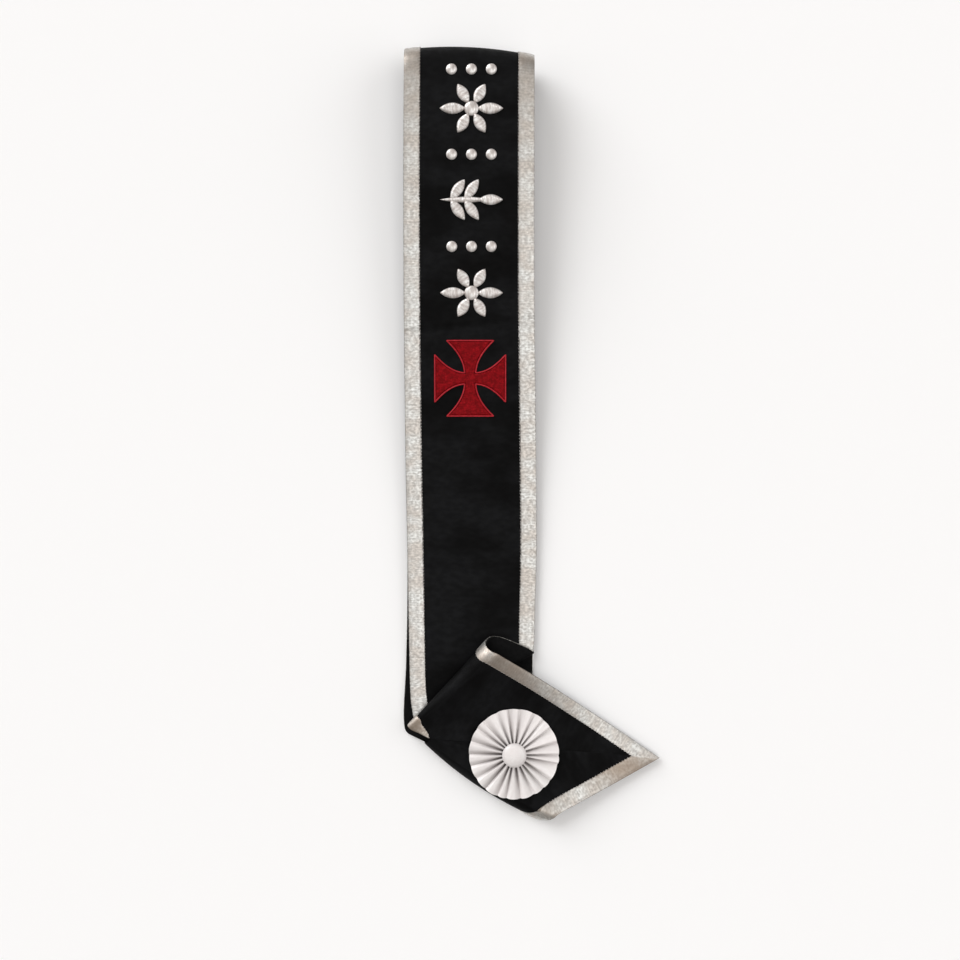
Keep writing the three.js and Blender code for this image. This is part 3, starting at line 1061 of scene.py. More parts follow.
RIBBON_FINISH = ClothFinish(
    "black_watered_ribbon",
    dark=(0.0012, 0.0011, 0.0012), light=(0.0069, 0.0072, 0.008), deep=(0.0014, 0.0014, 0.0015),
    roughness=0.6, specular=0.07, patch=26, grain=180, pits=0.4, stretch=(1.3, 0.7),
    ribs=1900, threads=1100, bump=0.2, relief=0.08,
)
LINING_FINISH = ClothFinish(
    "black_lining",
    dark=(0.003, 0.003, 0.0032), light=(0.0048, 0.0048, 0.005), deep=(0.002, 0.002, 0.0022),
    roughness=0.75, specular=0.1, patch=20, grain=300, ribs=1900, threads=1900, bump=0.2, relief=0.06,
)
BRAID_FINISH = ClothFinish(
    "silver_galloon",
    dark=(0.615, 0.575, 0.53), light=(0.745, 0.76, 0.745), deep=(0.34, 0.32, 0.3), bright=(0.95, 0.94, 0.9),
    roughness=0.42, metallic=0.85, patch=70, grain=520, glint=420, pits=0.75, glints=0.45,
    stretch=(1.0, 0.65), ribs=480, threads=310, wander=0.1, rib_share=0.25, bump=0.4, relief=0.04,
    edge_lines=(0.0135, 0.0007), fold_shade=(0.3, 0.235, 0.18),
)
SILVER_THREAD_FINISH = ClothFinish(
    "silver_satin_stitch",
    dark=(0.66, 0.61, 0.58), light=(0.95, 0.94, 0.92), deep=(0.4, 0.35, 0.33), bright=(1.0, 0.99, 0.97),
    roughness=0.36, metallic=0.5, patch=210, grain=420, glint=380, pits=0.62, glints=0.7,
    stretch=(1.4, 0.45), ribs=1100, threads=0, wander=0.15, rib_share=0.35, bump=0.5, relief=0.12,
)
RED_FILL_FINISH = ClothFinish(
    "crimson_fill_stitch",
    dark=(0.2, 0.0022, 0.0046), light=(0.335, 0.0042, 0.0088), deep=(0.115, 0.0014, 0.003),
    bright=(0.45, 0.02, 0.03), roughness=0.6, specular=0.07, patch=260, grain=700, glint=700,
    glints=0.3, ribs=1400, threads=700, wander=2.2, bump=0.7, relief=0.25,
)
RED_CORD_FINISH = ClothFinish(
    "bright_red_cord",
    dark=(0.42, 0.014, 0.024), light=(0.56, 0.024, 0.036), deep=(0.26, 0.008, 0.014),
    roughness=0.5, specular=0.2, patch=300, grain=900, ribs=1500, threads=0, bump=0.5, relief=0.12,
)
SATIN_FINISH = ClothFinish(
    "white_satin",
    dark=(0.9, 0.86, 0.85), light=(0.94, 0.915, 0.905), deep=(0.84, 0.79, 0.78),
    roughness=0.36, sheen=0.15, specular=0.75, patch=45, grain=500, stretch=(0.4, 1.6),
    ribs=2600, threads=2600, bump=0.15, relief=0.05, fold_shade=(0.1, 0.078, 0.074),
)


@dataclass
class Ribbon:
    """The black ribbon with its lining: the whole closed loop."""

    path: RibbonMap
    step: float = 2.6 * MM
    least: int = 3
    spans: int = 40

    def build(self) -> Piece:
        """Make the ribbon.

        Returns:
            The ribbon's object.
        """
        s = self.path.stations(self.step, self.least)
        shares = np.linspace(0, 1, self.spans + 1)
        flat = self.path.flat_places(s, shares)
        grid_s, grid_v = np.meshgrid(s[:-1], shares, indexing="ij")
        half = CLOTH.half_band * MM
        upper = self.path.place(grid_s, grid_v, half)
        lower = self.path.place(grid_s, grid_v, -half)
        mesh = Mesh()
        mesh.add_strip(wrap(upper, lower), wrap(flat, flat), True, self.spans)
        piece = mesh.build("ribbon_cloth", [RIBBON_FINISH.build(), LINING_FINISH.build()], angle=60)
        settle(piece, Slot.RIBBON, "ribbon_band")
        return piece


@dataclass(frozen=True)
class BraidShade:
    """A stretch of braid with painted shade, its colour darkened browner where it turns from the light: its
    middle and spread in rulings, and how strong it is.
    """

    station: float
    spread: float
    strength: float


@dataclass(frozen=True)
class StitchRow:
    """A section of a stitch: its shares of the length, and how far it reaches towards the middle."""

    along: float
    reach: float
    thickness: float


@dataclass
class Braid:
    """One silver braid along an edge of the ribbon, with the stitches that hold it."""

    path: RibbonMap
    name: str
    node: str
    material: Material
    thread: Material
    outer: bool
    shaded: tuple[BraidShade, ...] = ()
    step: float = 2.4 * MM
    least: int = 3
    spans: int = 8
    first: float = 0.35
    point: float = 0.06
    stop_before_fold: float = 2.2
    edge_height: float = 0.62 * MM
    crown_height: float = 0.34 * MM
    crown_power: float = 0.35
    least_width: float = 1e-4
    stitch_spacing: float = 2.7 * MM
    stitch_length: float = 2.1 * MM
    stitch_width: float = 0.32 * MM
    stitch_rise: float = 0.3 * MM
    stitch_climb: float = 0.8
    stitch_slant: float = 0.7
    stitch_rows: tuple[StitchRow, ...] = (
        StitchRow(-1.0, -0.008, 0.3), StitchRow(0.0, 0.0005, 1.0), StitchRow(1.0, 0.0035, 0.3)
    )
    thread_scale: float = 0.05
    unstitched: float = 2.6

    def _stations(self) -> Array:
        """Give the stations that the braid covers.

        Returns:
            The stations, in order.
        """
        s = self.path.stations(self.step, self.least)
        if self.outer:
            return s[:-1]
        last = self.path.lower_fold_start - self.stop_before_fold
        return np.concatenate([[self.first], s[(s > self.first) & (s < last)]])

    def _sides(self, s: Array) -> tuple[Array, Array]:
        """Give the shares across at which the braid starts and ends.

        Args:
            s: Stations, counted in rulings.

        Returns:
            The lower and the higher share at each station.
        """
        share = CLOTH.braid_share
        if self.outer:
            return np.full(s.shape, 1 - share), np.full(s.shape, 1 + CLOTH.overhang)
        full = self.path.loop_start
        taper = np.clip((s - self.first) / (full - self.first), self.point, 1)
        return np.full(s.shape, -CLOTH.overhang), share * taper

    def build(self) -> Piece:
        """Make the braid.

        Returns:
            The braid's object.
        """
        s = self._stations()
        start, end = self._sides(s)
        across = np.linspace(0, 1, self.spans + 1)
        v = start[:, None] + (end - start)[:, None] * across[None, :]
        grid_s = np.repeat(s[:, None], self.spans + 1, axis=1)
        low = (CLOTH.half_band + SEAT) * MM
        bulge = self.edge_height + self.crown_height * (4 * across * (1 - across)) ** self.crown_power
        upper = self.path.place(grid_s, v, low + bulge[None, :])
        lower = self.path.place(grid_s, v, low)
        rings = wrap(upper, lower)
        ends = np.append(s, self.path.last) if self.outer else s
        whole = self.path.flat_places(ends, np.array([0.0, 1.0]))
        width = np.maximum(whole[:, 0, 1], self.least_width)
        share = np.vstack([v, v[:1]]) if self.outer else v
        along = whole[:, 0, 0][:, None] * (1 - share) + whole[:, 1, 0][:, None] * share
        from_edge = 1 + CLOTH.overhang - share if self.outer else share + CLOTH.overhang
        flat = np.stack([along, width[:, None] * from_edge], axis=-1)
        mesh = Mesh()
        mesh.add_strip(rings, wrap(flat, flat), self.outer)
        # Painted shade: along the listed stretches the braid's colour is darkened browner, standing in for
        # shade and dimmer reflections where it turns from the light.
        braid_shade = np.zeros(len(s))
        for shaded in self.shaded:
            braid_shade = np.maximum(braid_shade, shaded.strength * np.exp(-(((s - shaded.station) / shaded.spread) ** 2)))
        mesh.folds.append(np.repeat(braid_shade, rings.shape[1]))
        piece = mesh.build(self.name, [self.material], angle=50)
        settle(piece, Slot.BRAID, self.node)
        stitches = self._stitches(s)
        return piece

    def _stitches(self, s: Array) -> Piece:
        """Make the slanted stitches along the braid's inner border.

        Args:
            s: The braid's stations.

        Returns:
            The stitches' object.
        """
        start, end = self._sides(s)
        border = start if self.outer else end
        along = lengths_along(self.path.smooth_point(s, border))
        starts = np.arange(int(along[-1] / self.stitch_spacing)) * self.stitch_spacing
        middles = np.interp(starts + 0.5 * self.stitch_spacing, along, s)
        borders = np.interp(middles, s, border)
        ahead = np.interp(starts + self.stitch_length, along, s)
        slant = (ahead - np.interp(starts, along, s)) / 2 * self.stitch_slant
        seen = (middles < self.path.lower_fold_start) | (middles > self.path.last - self.unstitched)
        inward = -1.0 if self.outer else 1.0
        low = CLOTH.half_band * MM
        mesh = Mesh()
        for s_middle, v_middle, half in zip(middles[seen], borders[seen], slant[seen], strict=True):
            points = []
            for row in self.stitch_rows:
                climb = (1 - row.along) * self.edge_height * self.stitch_climb
                for side, rise in ((-1.0, 0.0), (0.0, 1.0), (1.0, 0.0)):
                    offset = side * self.stitch_width * row.thickness / (CLOTH.width * MM)
                    points.append((
                        s_middle + half * row.along,
                        v_middle + inward * row.reach + offset,
                        low + climb + rise * self.stitch_rise * row.thickness,
                    ))
            table = np.array(points)
            placed = self.path.place(table[:, 0], table[:, 1], table[:, 2])
            faces = ring_faces(len(self.stitch_rows), 3, closed=False)
            mesh.add(placed, faces, table[:, :2] * self.thread_scale)
        piece = mesh.build(f"{self.name}_stitches", [self.thread], angle=60)
        settle(piece, Slot.BRAID)
        return piece


def add_patch(mesh: Mesh, path: RibbonMap, plan: Array, height: Array, flat: Array) -> None:
    """Add one closed patch of stitching, laid on the front length.

    Args:
        mesh: The mesh to add to.
        path: The folded ribbon.
        plan: Plan places in a grid, in millimetres.
        height: Heights above the ribbon there, in millimetres.
        flat: Flat places there, in millimetres.
    """
    rows, columns = plan.shape[:2]
    low = np.full(height.shape, SEAT)
    layers = [np.concatenate([plan, rise[..., None]], axis=-1).reshape(-1, 3) for rise in (height, low)]
    placed = path.lay_on_front(np.vstack(layers) * MM)
    mesh.add(placed, grid_faces(rows, columns), np.vstack([flat.reshape(-1, 2)] * 2) * MM)


@dataclass
class Cross:
    """The embroidered cross on the front length: its field and the cord round it. Sizes in millimetres."""

    path: RibbonMap
    centre: Pair = (-53.8, 50.3)
    half_width: float = 30.1
    half_length: float = 31.9
    arm_end: float = 18.6
    neck: float = 4.1
    hollow: float = 3.6
    rows: int = 56
    columns: int = 28
    square_points: int = 9
    side_points: int = 24
    field_height: float = 1.0
    border_height: float = 0.25
    end_slope: float = 30.0
    border_width: float = 1.2
    lump: float = 0.07
    cord_sides: int = 10
    cord_radius: float = 0.62
    cord_offset: float = 0.75
    cord_step: float = 0.4
    mitre_limit: float = 0.4
    twist: float = 1.1
    twist_depth: float = 0.09
    seat_share: float = 0.62
    seed: int = 7

    def _side(self, share: Array) -> Array:
        """Return an arm's half width at shares of its length."""
        return self.neck + (self.arm_end - self.neck) * share - self.hollow * 4 * share * (1 - share)

    def _arm_plan(self, along: Array, across: Array, arm: int) -> Array:
        """Return plan places of one arm's points, in millimetres."""
        return turned_plan(self.centre, along, across, math.pi / 2 * (1 - arm))

    def _reach(self, arm: int) -> float:
        """Return the reach of an arm from the centre."""
        return self.half_width if arm % 2 else self.half_length

    def build_field(self) -> Piece:
        """Make the stitched field: four arms and the square between them, each a low pillow.

        Returns:
            The field's object.
        """
        random = np.random.default_rng(self.seed)
        mesh = Mesh()
        for arm in range(4):
            share = np.linspace(0, 1, self.rows + 1)[:, None]
            side = np.linspace(-1, 1, self.columns + 1)[None, :]
            along = self.neck + (self._reach(arm) - self.neck) * share + 0 * side
            across = self._side(share) * side
            inside = np.minimum((1 - np.abs(side)) * self._side(share), (1 - share) * self.end_slope)
            edge = np.minimum(1, inside / self.border_width)
            self._add_lumpy(mesh, self._arm_plan(along, across, arm), edge, random)
        square = np.linspace(-1, 1, self.square_points) * self.neck
        along, across = np.meshgrid(square, square, indexing="ij")
        self._add_lumpy(mesh, self._arm_plan(along, across, 0), np.ones_like(along), random)
        piece = mesh.build("cross_fill", [RED_FILL_FINISH.build()], angle=70)
        settle(piece, Slot.RED_THREAD, "cross_field")
        return piece

    def _add_lumpy(self, mesh: Mesh, plan: Array, edge: Array, random: np.random.Generator) -> None:
        """Add one closed patch of uneven stitching.

        Args:
            mesh: The mesh to add to.
            plan: Plan places in a grid, in millimetres.
            edge: How far the patch has risen, from 0 at its border to 1.
            random: The source of its uneven surface.
        """
        lumps = random.normal(0, self.lump, edge.shape)
        rise = (self.field_height - self.border_height) * np.sqrt(np.clip(edge, 0, 1))
        add_patch(mesh, self.path, plan, self.border_height + rise + lumps * edge, plan)

    def build_cord(self) -> Piece:
        """Make the bright cord round the field.

        Returns:
            The cord's object.
        """
        line = self._grown(self._outline(), self.cord_offset)
        line = np.vstack([line, line[:1]])
        along = lengths_along(line)
        count = int(along[-1] / self.cord_step)
        at = np.linspace(0, along[-1], count, endpoint=False)
        path = np.stack([np.interp(at, along, line[:, k]) for k in range(2)], axis=-1)
        tangent = unit(np.roll(path, -1, axis=0) - np.roll(path, 1, axis=0))
        outward = np.stack([-tangent[:, 1], tangent[:, 0]], axis=-1)
        angles = np.linspace(0, math.tau, self.cord_sides, endpoint=False)
        ridge = 1 + self.twist_depth * np.cos(math.tau * at[:, None] / self.twist - angles[None, :])
        radius = self.cord_radius * ridge
        sideways = path[:, None, :] + outward[:, None, :] * (radius * np.cos(angles))[..., None]
        height = self.field_height * self.seat_share + radius * np.sin(angles)
        rings = np.concatenate([sideways, height[..., None]], axis=-1)
        flat = np.stack(np.meshgrid(at, angles, indexing="ij"), axis=-1)
        mesh = Mesh()
        placed = self.path.lay_on_front(rings.reshape(-1, 3) * MM)
        mesh.add(placed, ring_faces(count, self.cord_sides, closed=True), flat.reshape(-1, 2) * MM)
        piece = mesh.build("cross_cord", [RED_CORD_FINISH.build()], angle=80)
        settle(piece, Slot.RED_CORD, "cross_outline")
        return piece

    def _grown(self, line: Array, distance: float) -> Array:
        """Move a closed clockwise line outwards and keep its corners sharp.

        Args:
            line: Its points, in millimetres.
            distance: How far it moves, in millimetres.

        Returns:
            The moved points.
        """
        before = line - np.roll(line, 1, axis=0)
        after = np.roll(line, -1, axis=0) - line
        normals = []
        for step in (before, after):
            normals.append(unit(np.stack([-step[:, 1], step[:, 0]], axis=-1)))
        middle = unit(normals[0] + normals[1])
        share = (middle * normals[1]).sum(axis=1, keepdims=True)
        return line + middle * distance / np.maximum(share, self.mitre_limit)

    def _outline(self) -> Array:
        """Give the cross's outline.

        Returns:
            Its points, clockwise.
        """
        points = []
        share = np.linspace(0, 1, self.side_points)
        for arm in range(4):
            along = self.neck + (self._reach(arm) - self.neck) * share
            points.append(self._arm_plan(along, self._side(share), arm))
            points.append(self._arm_plan(along[::-1][:-1], -self._side(share)[::-1][:-1], arm))
        return np.vstack(points)


def grid_faces(rows: int, columns: int) -> list[Face]:
    """List the faces of a closed patch: a top grid, a bottom grid and the wall between them.

    Args:
        rows: Rows of points in each grid.
        columns: Columns of points in each grid.

    Returns:
        The faces.
    """
    size = rows * columns
    faces: list[Face] = []
    for i in range(rows - 1):
        for j in range(columns - 1):
            a = i * columns + j
            quad = (a, a + 1, a + columns + 1, a + columns)
            faces.append(quad)
            faces.append(tuple(size + k for k in reversed(quad)))
    border = list(range(columns))
    border += [i * columns + columns - 1 for i in range(1, rows)]
    border += [(rows - 1) * columns + j for j in range(columns - 2, -1, -1)]
    border += [i * columns for i in range(rows - 2, 0, -1)]
    for k, a in enumerate(border):
        b = border[(k + 1) % len(border)]
        faces.append((b, a, size + a, size + b))
    return faces


@dataclass
class Embroidery:
    """The silver padded ornaments and dots on the front length. Sizes in millimetres."""

    path: RibbonMap
    material: Material
    middle: float = -52.6
    edge: float = 0.55
    height: float = 2.3
    border_share: float = 0.6
    thread: float = 1.5
    thread_slant: float = 0.35
    groove: float = 0.13
    leaf_step: float = 0.3
    leaf_columns: int = 17
    leaf_power: float = 0.8
    leaf_end: float = 0.001
    full_width: float = 2.2
    dome_power: float = 0.6
    disc_rings: int = 9
    disc_sides: int = 32
    disc_power: float = 1.4
    flower_leaves: int = 6
    flower_leaf: Pair = (18.5, 9.5)
    flower_stretch: float = 1.2
    level_from: float = 0.9
    leaf_start: float = 5.0
    boss: float = 6.2
    twig: float = 54.0
    stem_width: float = 5.0
    twig_leaf: Pair = (21.0, 9.0)
    twig_angle: float = 0.95
    twig_pairs: Pair = (9.0, 21.0)
    dot: float = 4.7
    dot_spacing: float = 17.0
    dot_rows: tuple[float, float, float] = (312.0, 240.5, 163.0)
    ornament_rows: tuple[float, float, float] = (279.0, 202.4, 123.7)

    def _leaf(self, mesh: Mesh, foot: Pair, direction: float, size: Pair) -> None:
        """Add one padded leaf of slanted satin stitches.

        Args:
            mesh: The mesh to add to.
            foot: Where the leaf starts.
            direction: Which way it points, in radians.
            size: Its length and width.
        """
        length, width = size
        share = np.linspace(0.0, 1.0, int(length / self.leaf_step) + 1)[:, None]
        side = np.linspace(-1, 1, self.leaf_columns)[None, :]
        half = width / 2 * np.maximum(np.sin(math.pi * share), self.leaf_end) ** self.leaf_power
        along = length * share + 0 * side
        across = half * side
        dome = np.sqrt(np.clip(1 - side**2, 0, 1)) * np.clip(half / self.full_width, 0, 1) ** self.dome_power
        height = self._rise(dome, along - self.thread_slant * np.abs(across))
        plan = turned_plan(foot, along, across, direction)
        add_patch(mesh, self.path, plan, height, np.stack([along, across], axis=-1))

    def _rise(self, dome: Array, along: Array) -> Array:
        """Return the height of a pad: its dome, with a groove between every two threads."""
        border = self.edge * self.border_share
        return border + (self.height - border + self.groove * np.cos(math.tau * along / self.thread)) * dome

    def _disc(self, mesh: Mesh, centre: Pair, radius: float) -> None:
        """Add one round pad of straight satin stitches.

        Args:
            mesh: The mesh to add to.
            centre: Its middle.
            radius: Its radius.
        """
        rings, sides = self.disc_rings, self.disc_sides
        share = (1 - (np.arange(rings) / rings) ** self.disc_power)[:, None]
        angles = math.tau * np.arange(sides) / sides
        flat = radius * share[..., None] * np.stack([np.cos(angles), np.sin(angles)], axis=-1)
        flat = np.vstack([flat.reshape(-1, 2), [[0, 0]], flat[0]])
        dome = np.sqrt(1 - np.append(np.repeat(share, sides), 0) ** 2)
        height = np.append(self._rise(dome, flat[: rings * sides + 1, 0]), np.full(sides, SEAT))
        middle, foot = rings * sides, rings * sides + 1
        faces: list[Face] = [tuple(foot + j for j in reversed(range(sides)))]
        for j in range(sides):
            after = (j + 1) % sides
            faces.append((foot + j, foot + after, after, j))
            for near in range(0, middle - sides, sides):
                faces.append((near + j, near + after, near + sides + after, near + sides + j))
            faces.append((middle - sides + j, middle - sides + after, middle))
        points = np.column_stack([flat + centre, height])
        mesh.add(self.path.lay_on_front(points * MM), faces, flat * MM)

    def _flower(self, name: str, node: str, y: float) -> None:
        """Make one flower of leaves round a boss.

        Args:
            name: The piece's name.
            node: The solid that it stands for.
            y: Its middle along the ribbon.
        """
        mesh = Mesh()
        for i in range(self.flower_leaves):
            direction = math.tau * i / self.flower_leaves
            stretch = self.flower_stretch if abs(math.cos(direction)) > self.level_from else 1.0
            foot = (
                self.middle + self.leaf_start * math.cos(direction),
                y + self.leaf_start * math.sin(direction),
            )
            self._leaf(mesh, foot, direction, (self.flower_leaf[0] * stretch, self.flower_leaf[1]))
        self._disc(mesh, (self.middle, y), self.boss)
        settle(mesh.build(name, [self.material], angle=60), Slot.SILVER_THREAD, node)

    def _twig(self, name: str, node: str, y: float) -> None:
        """Make the twig with pairs of leaves.

        Args:
            name: The piece's name.
            node: The solid that it stands for.
            y: Its middle along the ribbon.
        """
        mesh = Mesh()
        start = self.middle - self.twig / 2
        self._leaf(mesh, (start, y), 0.0, (self.twig - self.twig_leaf[0] / 2, self.stem_width))
        self._leaf(mesh, (start + self.twig - self.twig_leaf[0], y), 0.0, self.twig_leaf)
        for reach in self.twig_pairs:
            for side in (-1, 1):
                self._leaf(mesh, (start + reach, y), side * self.twig_angle, self.twig_leaf)
        settle(mesh.build(name, [self.material], angle=60), Slot.SILVER_THREAD, node)

    def build(self) -> None:
        """Make the three ornaments and the rows of dots."""
        self._flower("top_flower_stitching", "top_flower", self.ornament_rows[0])
        self._twig("middle_twig_stitching", "middle_twig", self.ornament_rows[1])
        self._flower("lower_flower_stitching", "lower_flower", self.ornament_rows[2])
        for row, y in enumerate(self.dot_rows, start=1):
            for column in (-1, 0, 1):
                mesh = Mesh()
                self._disc(mesh, (self.middle + self.dot_spacing * column, y), self.dot)
                number = f"{row}_{column + 2}"
                piece = mesh.build(f"dot_stitching_{number}", [self.material], angle=60)
                settle(piece, Slot.SILVER_THREAD, f"dot_{number}")


@dataclass
class Rosette:
    """The white pleated rosette and its covered button. Sizes in millimetres."""

    material: Material
    seat: Place = (-15.6, -277.3, 13.5)
    tilt: float = 0.022
    radius: float = 39.2
    inner_radius: float = 5.0
    pleats: int = 22
    pleat_steps: int = 22
    rings: int = 30
    start_spread: float = 0.2
    step_shift: float = 0.07
    ring_power: float = 0.9
    depth_power: float = 0.8
    wall_power: float = 1.2
    least_rise: float = 0.78
    turn_spread: float = 0.02
    reach_spread: float = 0.006
    rim_swell: float = 0.012
    steep: Pair = (0.7, 1.3)
    middle_depth: float = 3.7
    rim_depth: float = 2.3
    middle_valley: float = 0.42
    rim_valley: float = 0.34
    lean: float = 0.55
    light_from: float = 0.6
    light_share: float = 0.15
    cloth_share: float = 1.2
    weave_radius: float = 20.0
    crease_width: Pair = (0.37, 0.16)
    crease_fade: Pair = (1.2, 1.2)
    side_width: float = 0.5
    side_power: float = 1.5
    side_shade: Pair = (0.12, 0.58)
    thickness: float = 0.8
    button_radius: float = 10.6
    button_height: float = 4.9
    button_foot: float = 5.2
    button_cut: float = 2.2
    button_squash: float = 0.82
    button_round: float = 3.0
    button_shade: Pair = (0.11, 0.2)
    shade_from: float = 0.75
    puckers: int = 30
    pucker_depth: float = 0.006
    pucker_from: float = 0.86
    seed: int = 3

    def _to_frame(self, points: Array) -> Array:
        """Place points of the rosette's own frame.

        Args:
            points: The points, in millimetres.

        Returns:
            Their places in the frame, in metres.
        """
        cos, sin = math.cos(self.tilt), math.sin(self.tilt)
        x = points[:, 0] * cos + points[:, 2] * sin
        z = -points[:, 0] * sin + points[:, 2] * cos
        return (np.stack([x, points[:, 1], z], axis=-1) + np.array(self.seat)) * MM

    def _pleat_rows(self) -> tuple[Array, Array, Array]:
        """Lay out the rows of the disc.

        Returns:
            Each row's angle, its share of its pleat and the number of its pleat.
        """
        random = np.random.default_rng(self.seed)
        shifts = np.append(random.uniform(-1, 1, self.pleats), 0) * self.start_spread
        starts = np.arange(self.pleats + 1) + shifts
        starts[-1] = starts[0] + self.pleats
        share = np.arange(self.pleat_steps) / self.pleat_steps
        share = share - self.step_shift * np.sin(math.tau * share)
        places = starts[:-1, None] + np.diff(starts)[:, None] * share[None, :]
        number = np.repeat(np.arange(self.pleats), self.pleat_steps)
        return places.ravel() * math.tau / self.pleats, np.tile(share, self.pleats), number

    def build_pleats(self) -> Piece:
        """Make the pleated disc: narrow deep folds round the button that open towards the rim.

        Returns:
            The pleats' object.
        """
        angles, share, number = self._pleat_rows()
        random = np.random.default_rng(self.seed + 1)
        rise = random.uniform(self.least_rise, 1.0, self.pleats)[number][:, None]
        sway = random.uniform(-1, 1, self.pleats)[number][:, None]
        reach = random.uniform(-self.reach_spread, self.reach_spread, self.pleats)[number][:, None]
        out = np.linspace(0, 1, self.rings + 1)[None, :] ** self.ring_power
        radii = self.inner_radius + (self.radius - self.inner_radius) * out
        valley = self.middle_valley + (self.rim_valley - self.middle_valley) * out
        depth = self.middle_depth + (self.rim_depth - self.middle_depth) * out**self.depth_power
        t = share[:, None]
        from_valley = np.minimum(t / self.steep[0], (1 - t) / self.steep[1])
        wall = np.sin(math.pi / 2 * np.clip(from_valley / valley, 0, 1)) ** self.wall_power
        height = depth * rise * wall * (1 - self.lean * out * t)
        turn = angles[:, None] + self.turn_spread * sway * out**2
        rim = 1 + (reach + self.rim_swell * (np.sin(math.pi * t) - 0.5)) * out**3
        x = radii * rim * np.cos(turn)
        y = radii * rim * np.sin(turn)
        top = np.stack([x, y, height + self.thickness], axis=-1)
        bottom = np.stack([x, y, height], axis=-1)
        rings = wrap(top, bottom)
        rounds, count = rings.shape[:2]
        along = np.concatenate([radii[0], radii[0][::-1]])
        around = np.repeat(angles[:, None] * self.weave_radius, count, 1)
        flat = np.stack([np.tile(along, (rounds, 1)), around], axis=-1)
        mesh = Mesh()
        placed = self._to_frame(rings.reshape(-1, 3))
        mesh.add(placed, ring_faces(rounds, count, closed=True), flat.reshape(-1, 2) * MM)
        # Painted shade: the satin's colour is darkened in the pleats' valleys near the button and along one
        # side of each pleat, less on the side towards the light.
        crease = self.crease_width[0] + (self.crease_width[1] - self.crease_width[0]) * out
        light_side = 1 - self.light_share * (1 + np.cos(angles[:, None] - self.light_from))
        fade = np.clip(self.crease_fade[0] - self.crease_fade[1] * out, 0, 1)
        crease_shade = light_side * fade * np.exp(-((from_valley / crease) ** 2))
        low, high = self.side_shade
        side = low + (high - low) * (0.5 + 0.5 * sway)
        pleat_side_shade = side * light_side * np.exp(-(((1 - t) / self.side_width) ** self.side_power))
        fold = 1 - (1 - crease_shade) * (1 - pleat_side_shade)
        mesh.folds.append(wrap(fold, fold).ravel())
        piece = mesh.build("pleated_ribbon", [self.material], angle=50)
        settle(piece, Slot.SATIN, "rosette_pleats")
        return piece

    def build_button(self) -> Piece:
        """Make the covered button from a sphere: cut, pressed flatter and puckered under its rim.

        Returns:
            The button's object.
        """
        bpy.ops.object.select_all(action="DESELECT")
        bpy.ops.mesh.primitive_uv_sphere_add(segments=96, ring_count=48, radius=self.button_radius * MM)
        piece = bpy.context.object
        piece.name = "covered_button"
        bpy.ops.object.mode_set(mode="EDIT")
        bpy.ops.mesh.select_all(action="SELECT")
        bpy.ops.mesh.bisect(
            plane_co=(0, 0, -self.button_cut * MM), plane_no=(0, 0, 1), clear_inner=True, use_fill=True
        )
        bpy.ops.mesh.select_all(action="SELECT")
        squash = self.button_height / self.button_radius * self.button_squash
        bpy.ops.transform.resize(value=(1, 1, squash))
        bpy.ops.object.mode_set(mode="OBJECT")
        points = np.array([v.co for v in piece.data.vertices]) / MM
        angle = np.arctan2(points[:, 1], points[:, 0])
        radial = np.hypot(points[:, 0], points[:, 1]) / self.button_radius
        puckered = np.clip((radial - self.pucker_from) / (1 - self.pucker_from), 0, 1)
        pucker = 1 + self.pucker_depth * np.sin(angle * self.puckers) * puckered
        points[:, :2] *= pucker[:, None]
        points[:, 2] += self.button_foot
        placed = self._to_frame(points)
        piece.data.vertices.foreach_set("co", placed.ravel())
        piece.data.uv_layers.active.name = "flat"
        scale = self.button_radius * MM * 2
        for corner in piece.data.uv_layers.active.data:
            corner.uv = (corner.uv[0] * scale * self.button_round, corner.uv[1] * scale)
        piece.data.materials.clear()
        piece.data.materials.append(self.material)
        # Painted shade: the button's colour is darkened a little all over and more towards its rim.
        rim = np.clip((radial - self.shade_from) / (1 - self.shade_from), 0, 1)
        fold = self.button_shade[0] + self.button_shade[1] * rim
        piece.data.attributes.new("fold", "FLOAT", "POINT").data.foreach_set("value", fold)
        piece.data.update()
        select_only(piece)
        bpy.ops.object.shade_smooth_by_angle(angle=math.radians(50))
        settle(piece, Slot.SATIN, "rosette_button")
        return piece


@dataclass(frozen=True)
class SoftLight:
    """A broad soft light: the way to it, how wide it looks in degrees, its strength and its colour."""

    name: str
    towards: Place
    angle: float
    power: float
    colour: Place


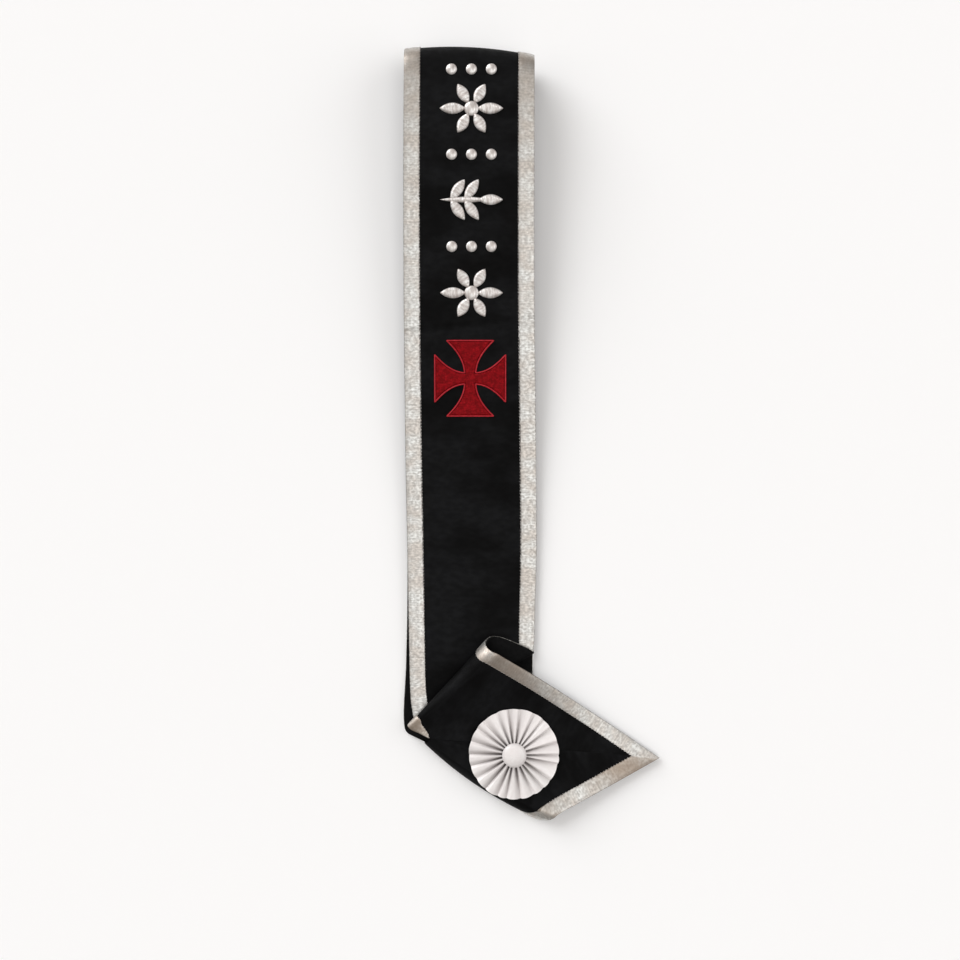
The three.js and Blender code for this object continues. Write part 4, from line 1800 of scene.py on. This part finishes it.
@dataclass
class Studio:
    """The pale floor, the soft lights and the camera straight above."""

    middle: Pair = (-45.25 * MM, -38.25 * MM)
    height: float = 1178 * MM
    lens: float = 50.0
    sensor: float = 36.0
    floor_size: float = 80.0
    far: float = 100.0
    floor_colour: Place = (0.97, 0.975, 0.98)
    floor_roughness: float = 0.9
    floor_specular: float = 0.1
    room_colour: Place = (1.0, 0.93, 0.87)
    room_light: float = 0.3
    lights: tuple[SoftLight, ...] = (
        SoftLight("overhead", (0.1, -0.16, 1.0), 44, 0.68, (1.0, 0.995, 0.985)),
        SoftLight("high_window", (-1.3, 1.5, 1.05), 46, 2.0, (0.985, 0.99, 1.0)),
        SoftLight("left_fill", (-1.5, 0.4, 0.8), 60, 0.45, (0.99, 0.99, 1.0)),
        SoftLight("right_fill", (1.6, 0.2, 0.8), 60, 0.9, (0.99, 0.99, 1.0)),
    )

    def build_camera(self) -> None:
        """Make the camera above the middle of the picture, looking straight down."""
        data = bpy.data.cameras.new("camera")
        data.lens = self.lens
        data.sensor_width = self.sensor
        data.clip_end = self.far
        camera = bpy.data.objects.new("camera", data)
        camera.location = (*self.middle, self.height)
        bpy.context.scene.collection.objects.link(camera)
        bpy.context.scene.camera = camera

    def build_floor(self) -> None:
        """Make the plain pale floor."""
        bpy.ops.object.select_all(action="DESELECT")
        bpy.ops.mesh.primitive_plane_add(size=self.floor_size, location=(0, 0, 0))
        floor = bpy.context.object
        floor.name = "pale_floor"
        material = bpy.data.materials.new("pale_floor")
        material.use_nodes = True
        shader = material.node_tree.nodes["Principled BSDF"]
        shader.inputs["Base Color"].default_value = (*self.floor_colour, 1)
        shader.inputs["Roughness"].default_value = self.floor_roughness
        shader.inputs["Specular IOR Level"].default_value = self.floor_specular
        floor.data.materials.append(material)

    def build_lights(self) -> None:
        """Make the soft lights, far away."""
        for soft in self.lights:
            data = bpy.data.lights.new(soft.name, "SUN")
            data.angle = math.radians(soft.angle)
            data.energy = soft.power
            data.color = soft.colour
            light = bpy.data.objects.new(soft.name, data)
            light.location = soft.towards
            light.rotation_euler = Vector(soft.towards).to_track_quat("Z", "Y").to_euler()
            bpy.context.scene.collection.objects.link(light)

    def build_world(self) -> None:
        """Make the even light of the room."""
        world = bpy.data.worlds.new("room")
        world.use_nodes = True
        background = world.node_tree.nodes["Background"]
        background.inputs["Color"].default_value = (*self.room_colour, 1)
        background.inputs["Strength"].default_value = self.room_light
        bpy.context.scene.world = world

    def build(self) -> None:
        """Make the whole studio."""
        self.build_camera()
        self.build_floor()
        self.build_world()
        self.build_lights()
        bpy.context.scene.view_settings.view_transform = "Standard"


def main() -> None:
    """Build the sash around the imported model."""
    logging.basicConfig(level=logging.INFO, format="%(message)s")
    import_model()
    path = RibbonMap()
    Ribbon(path).build()
    braid = BRAID_FINISH.build()
    thread = SILVER_THREAD_FINISH.build()
    # Painted shade on the braids: stretches whose colour is darkened browner, standing in for shade and
    # dimmer reflections where the braid turns from the light.
    top = BraidShade(33.5, 2.5, 0.45)
    outer_shade = (
        top, BraidShade(3.3, 1.4, 0.68), BraidShade(5.6, 1.1, 0.5), BraidShade(24, 9, 0.06), BraidShade(60.7, 0.9, 0.55),
        BraidShade(63.45, 0.8, 0.78),
    )
    inner_shade = (top, BraidShade(4, 4, 0.85))
    Braid(path, "outer_silver_braid", "outer_braid", braid, thread, outer=True, shaded=outer_shade).build()
    Braid(path, "inner_silver_braid", "inner_braid", braid, thread, outer=False, shaded=inner_shade).build()
    cross = Cross(path)
    cross.build_field()
    cross.build_cord()
    Embroidery(path, thread).build()
    rosette = Rosette(SATIN_FINISH.build())
    rosette.build_pleats()
    rosette.build_button()
    Studio().build()


if __name__ == "__main__":
    main()
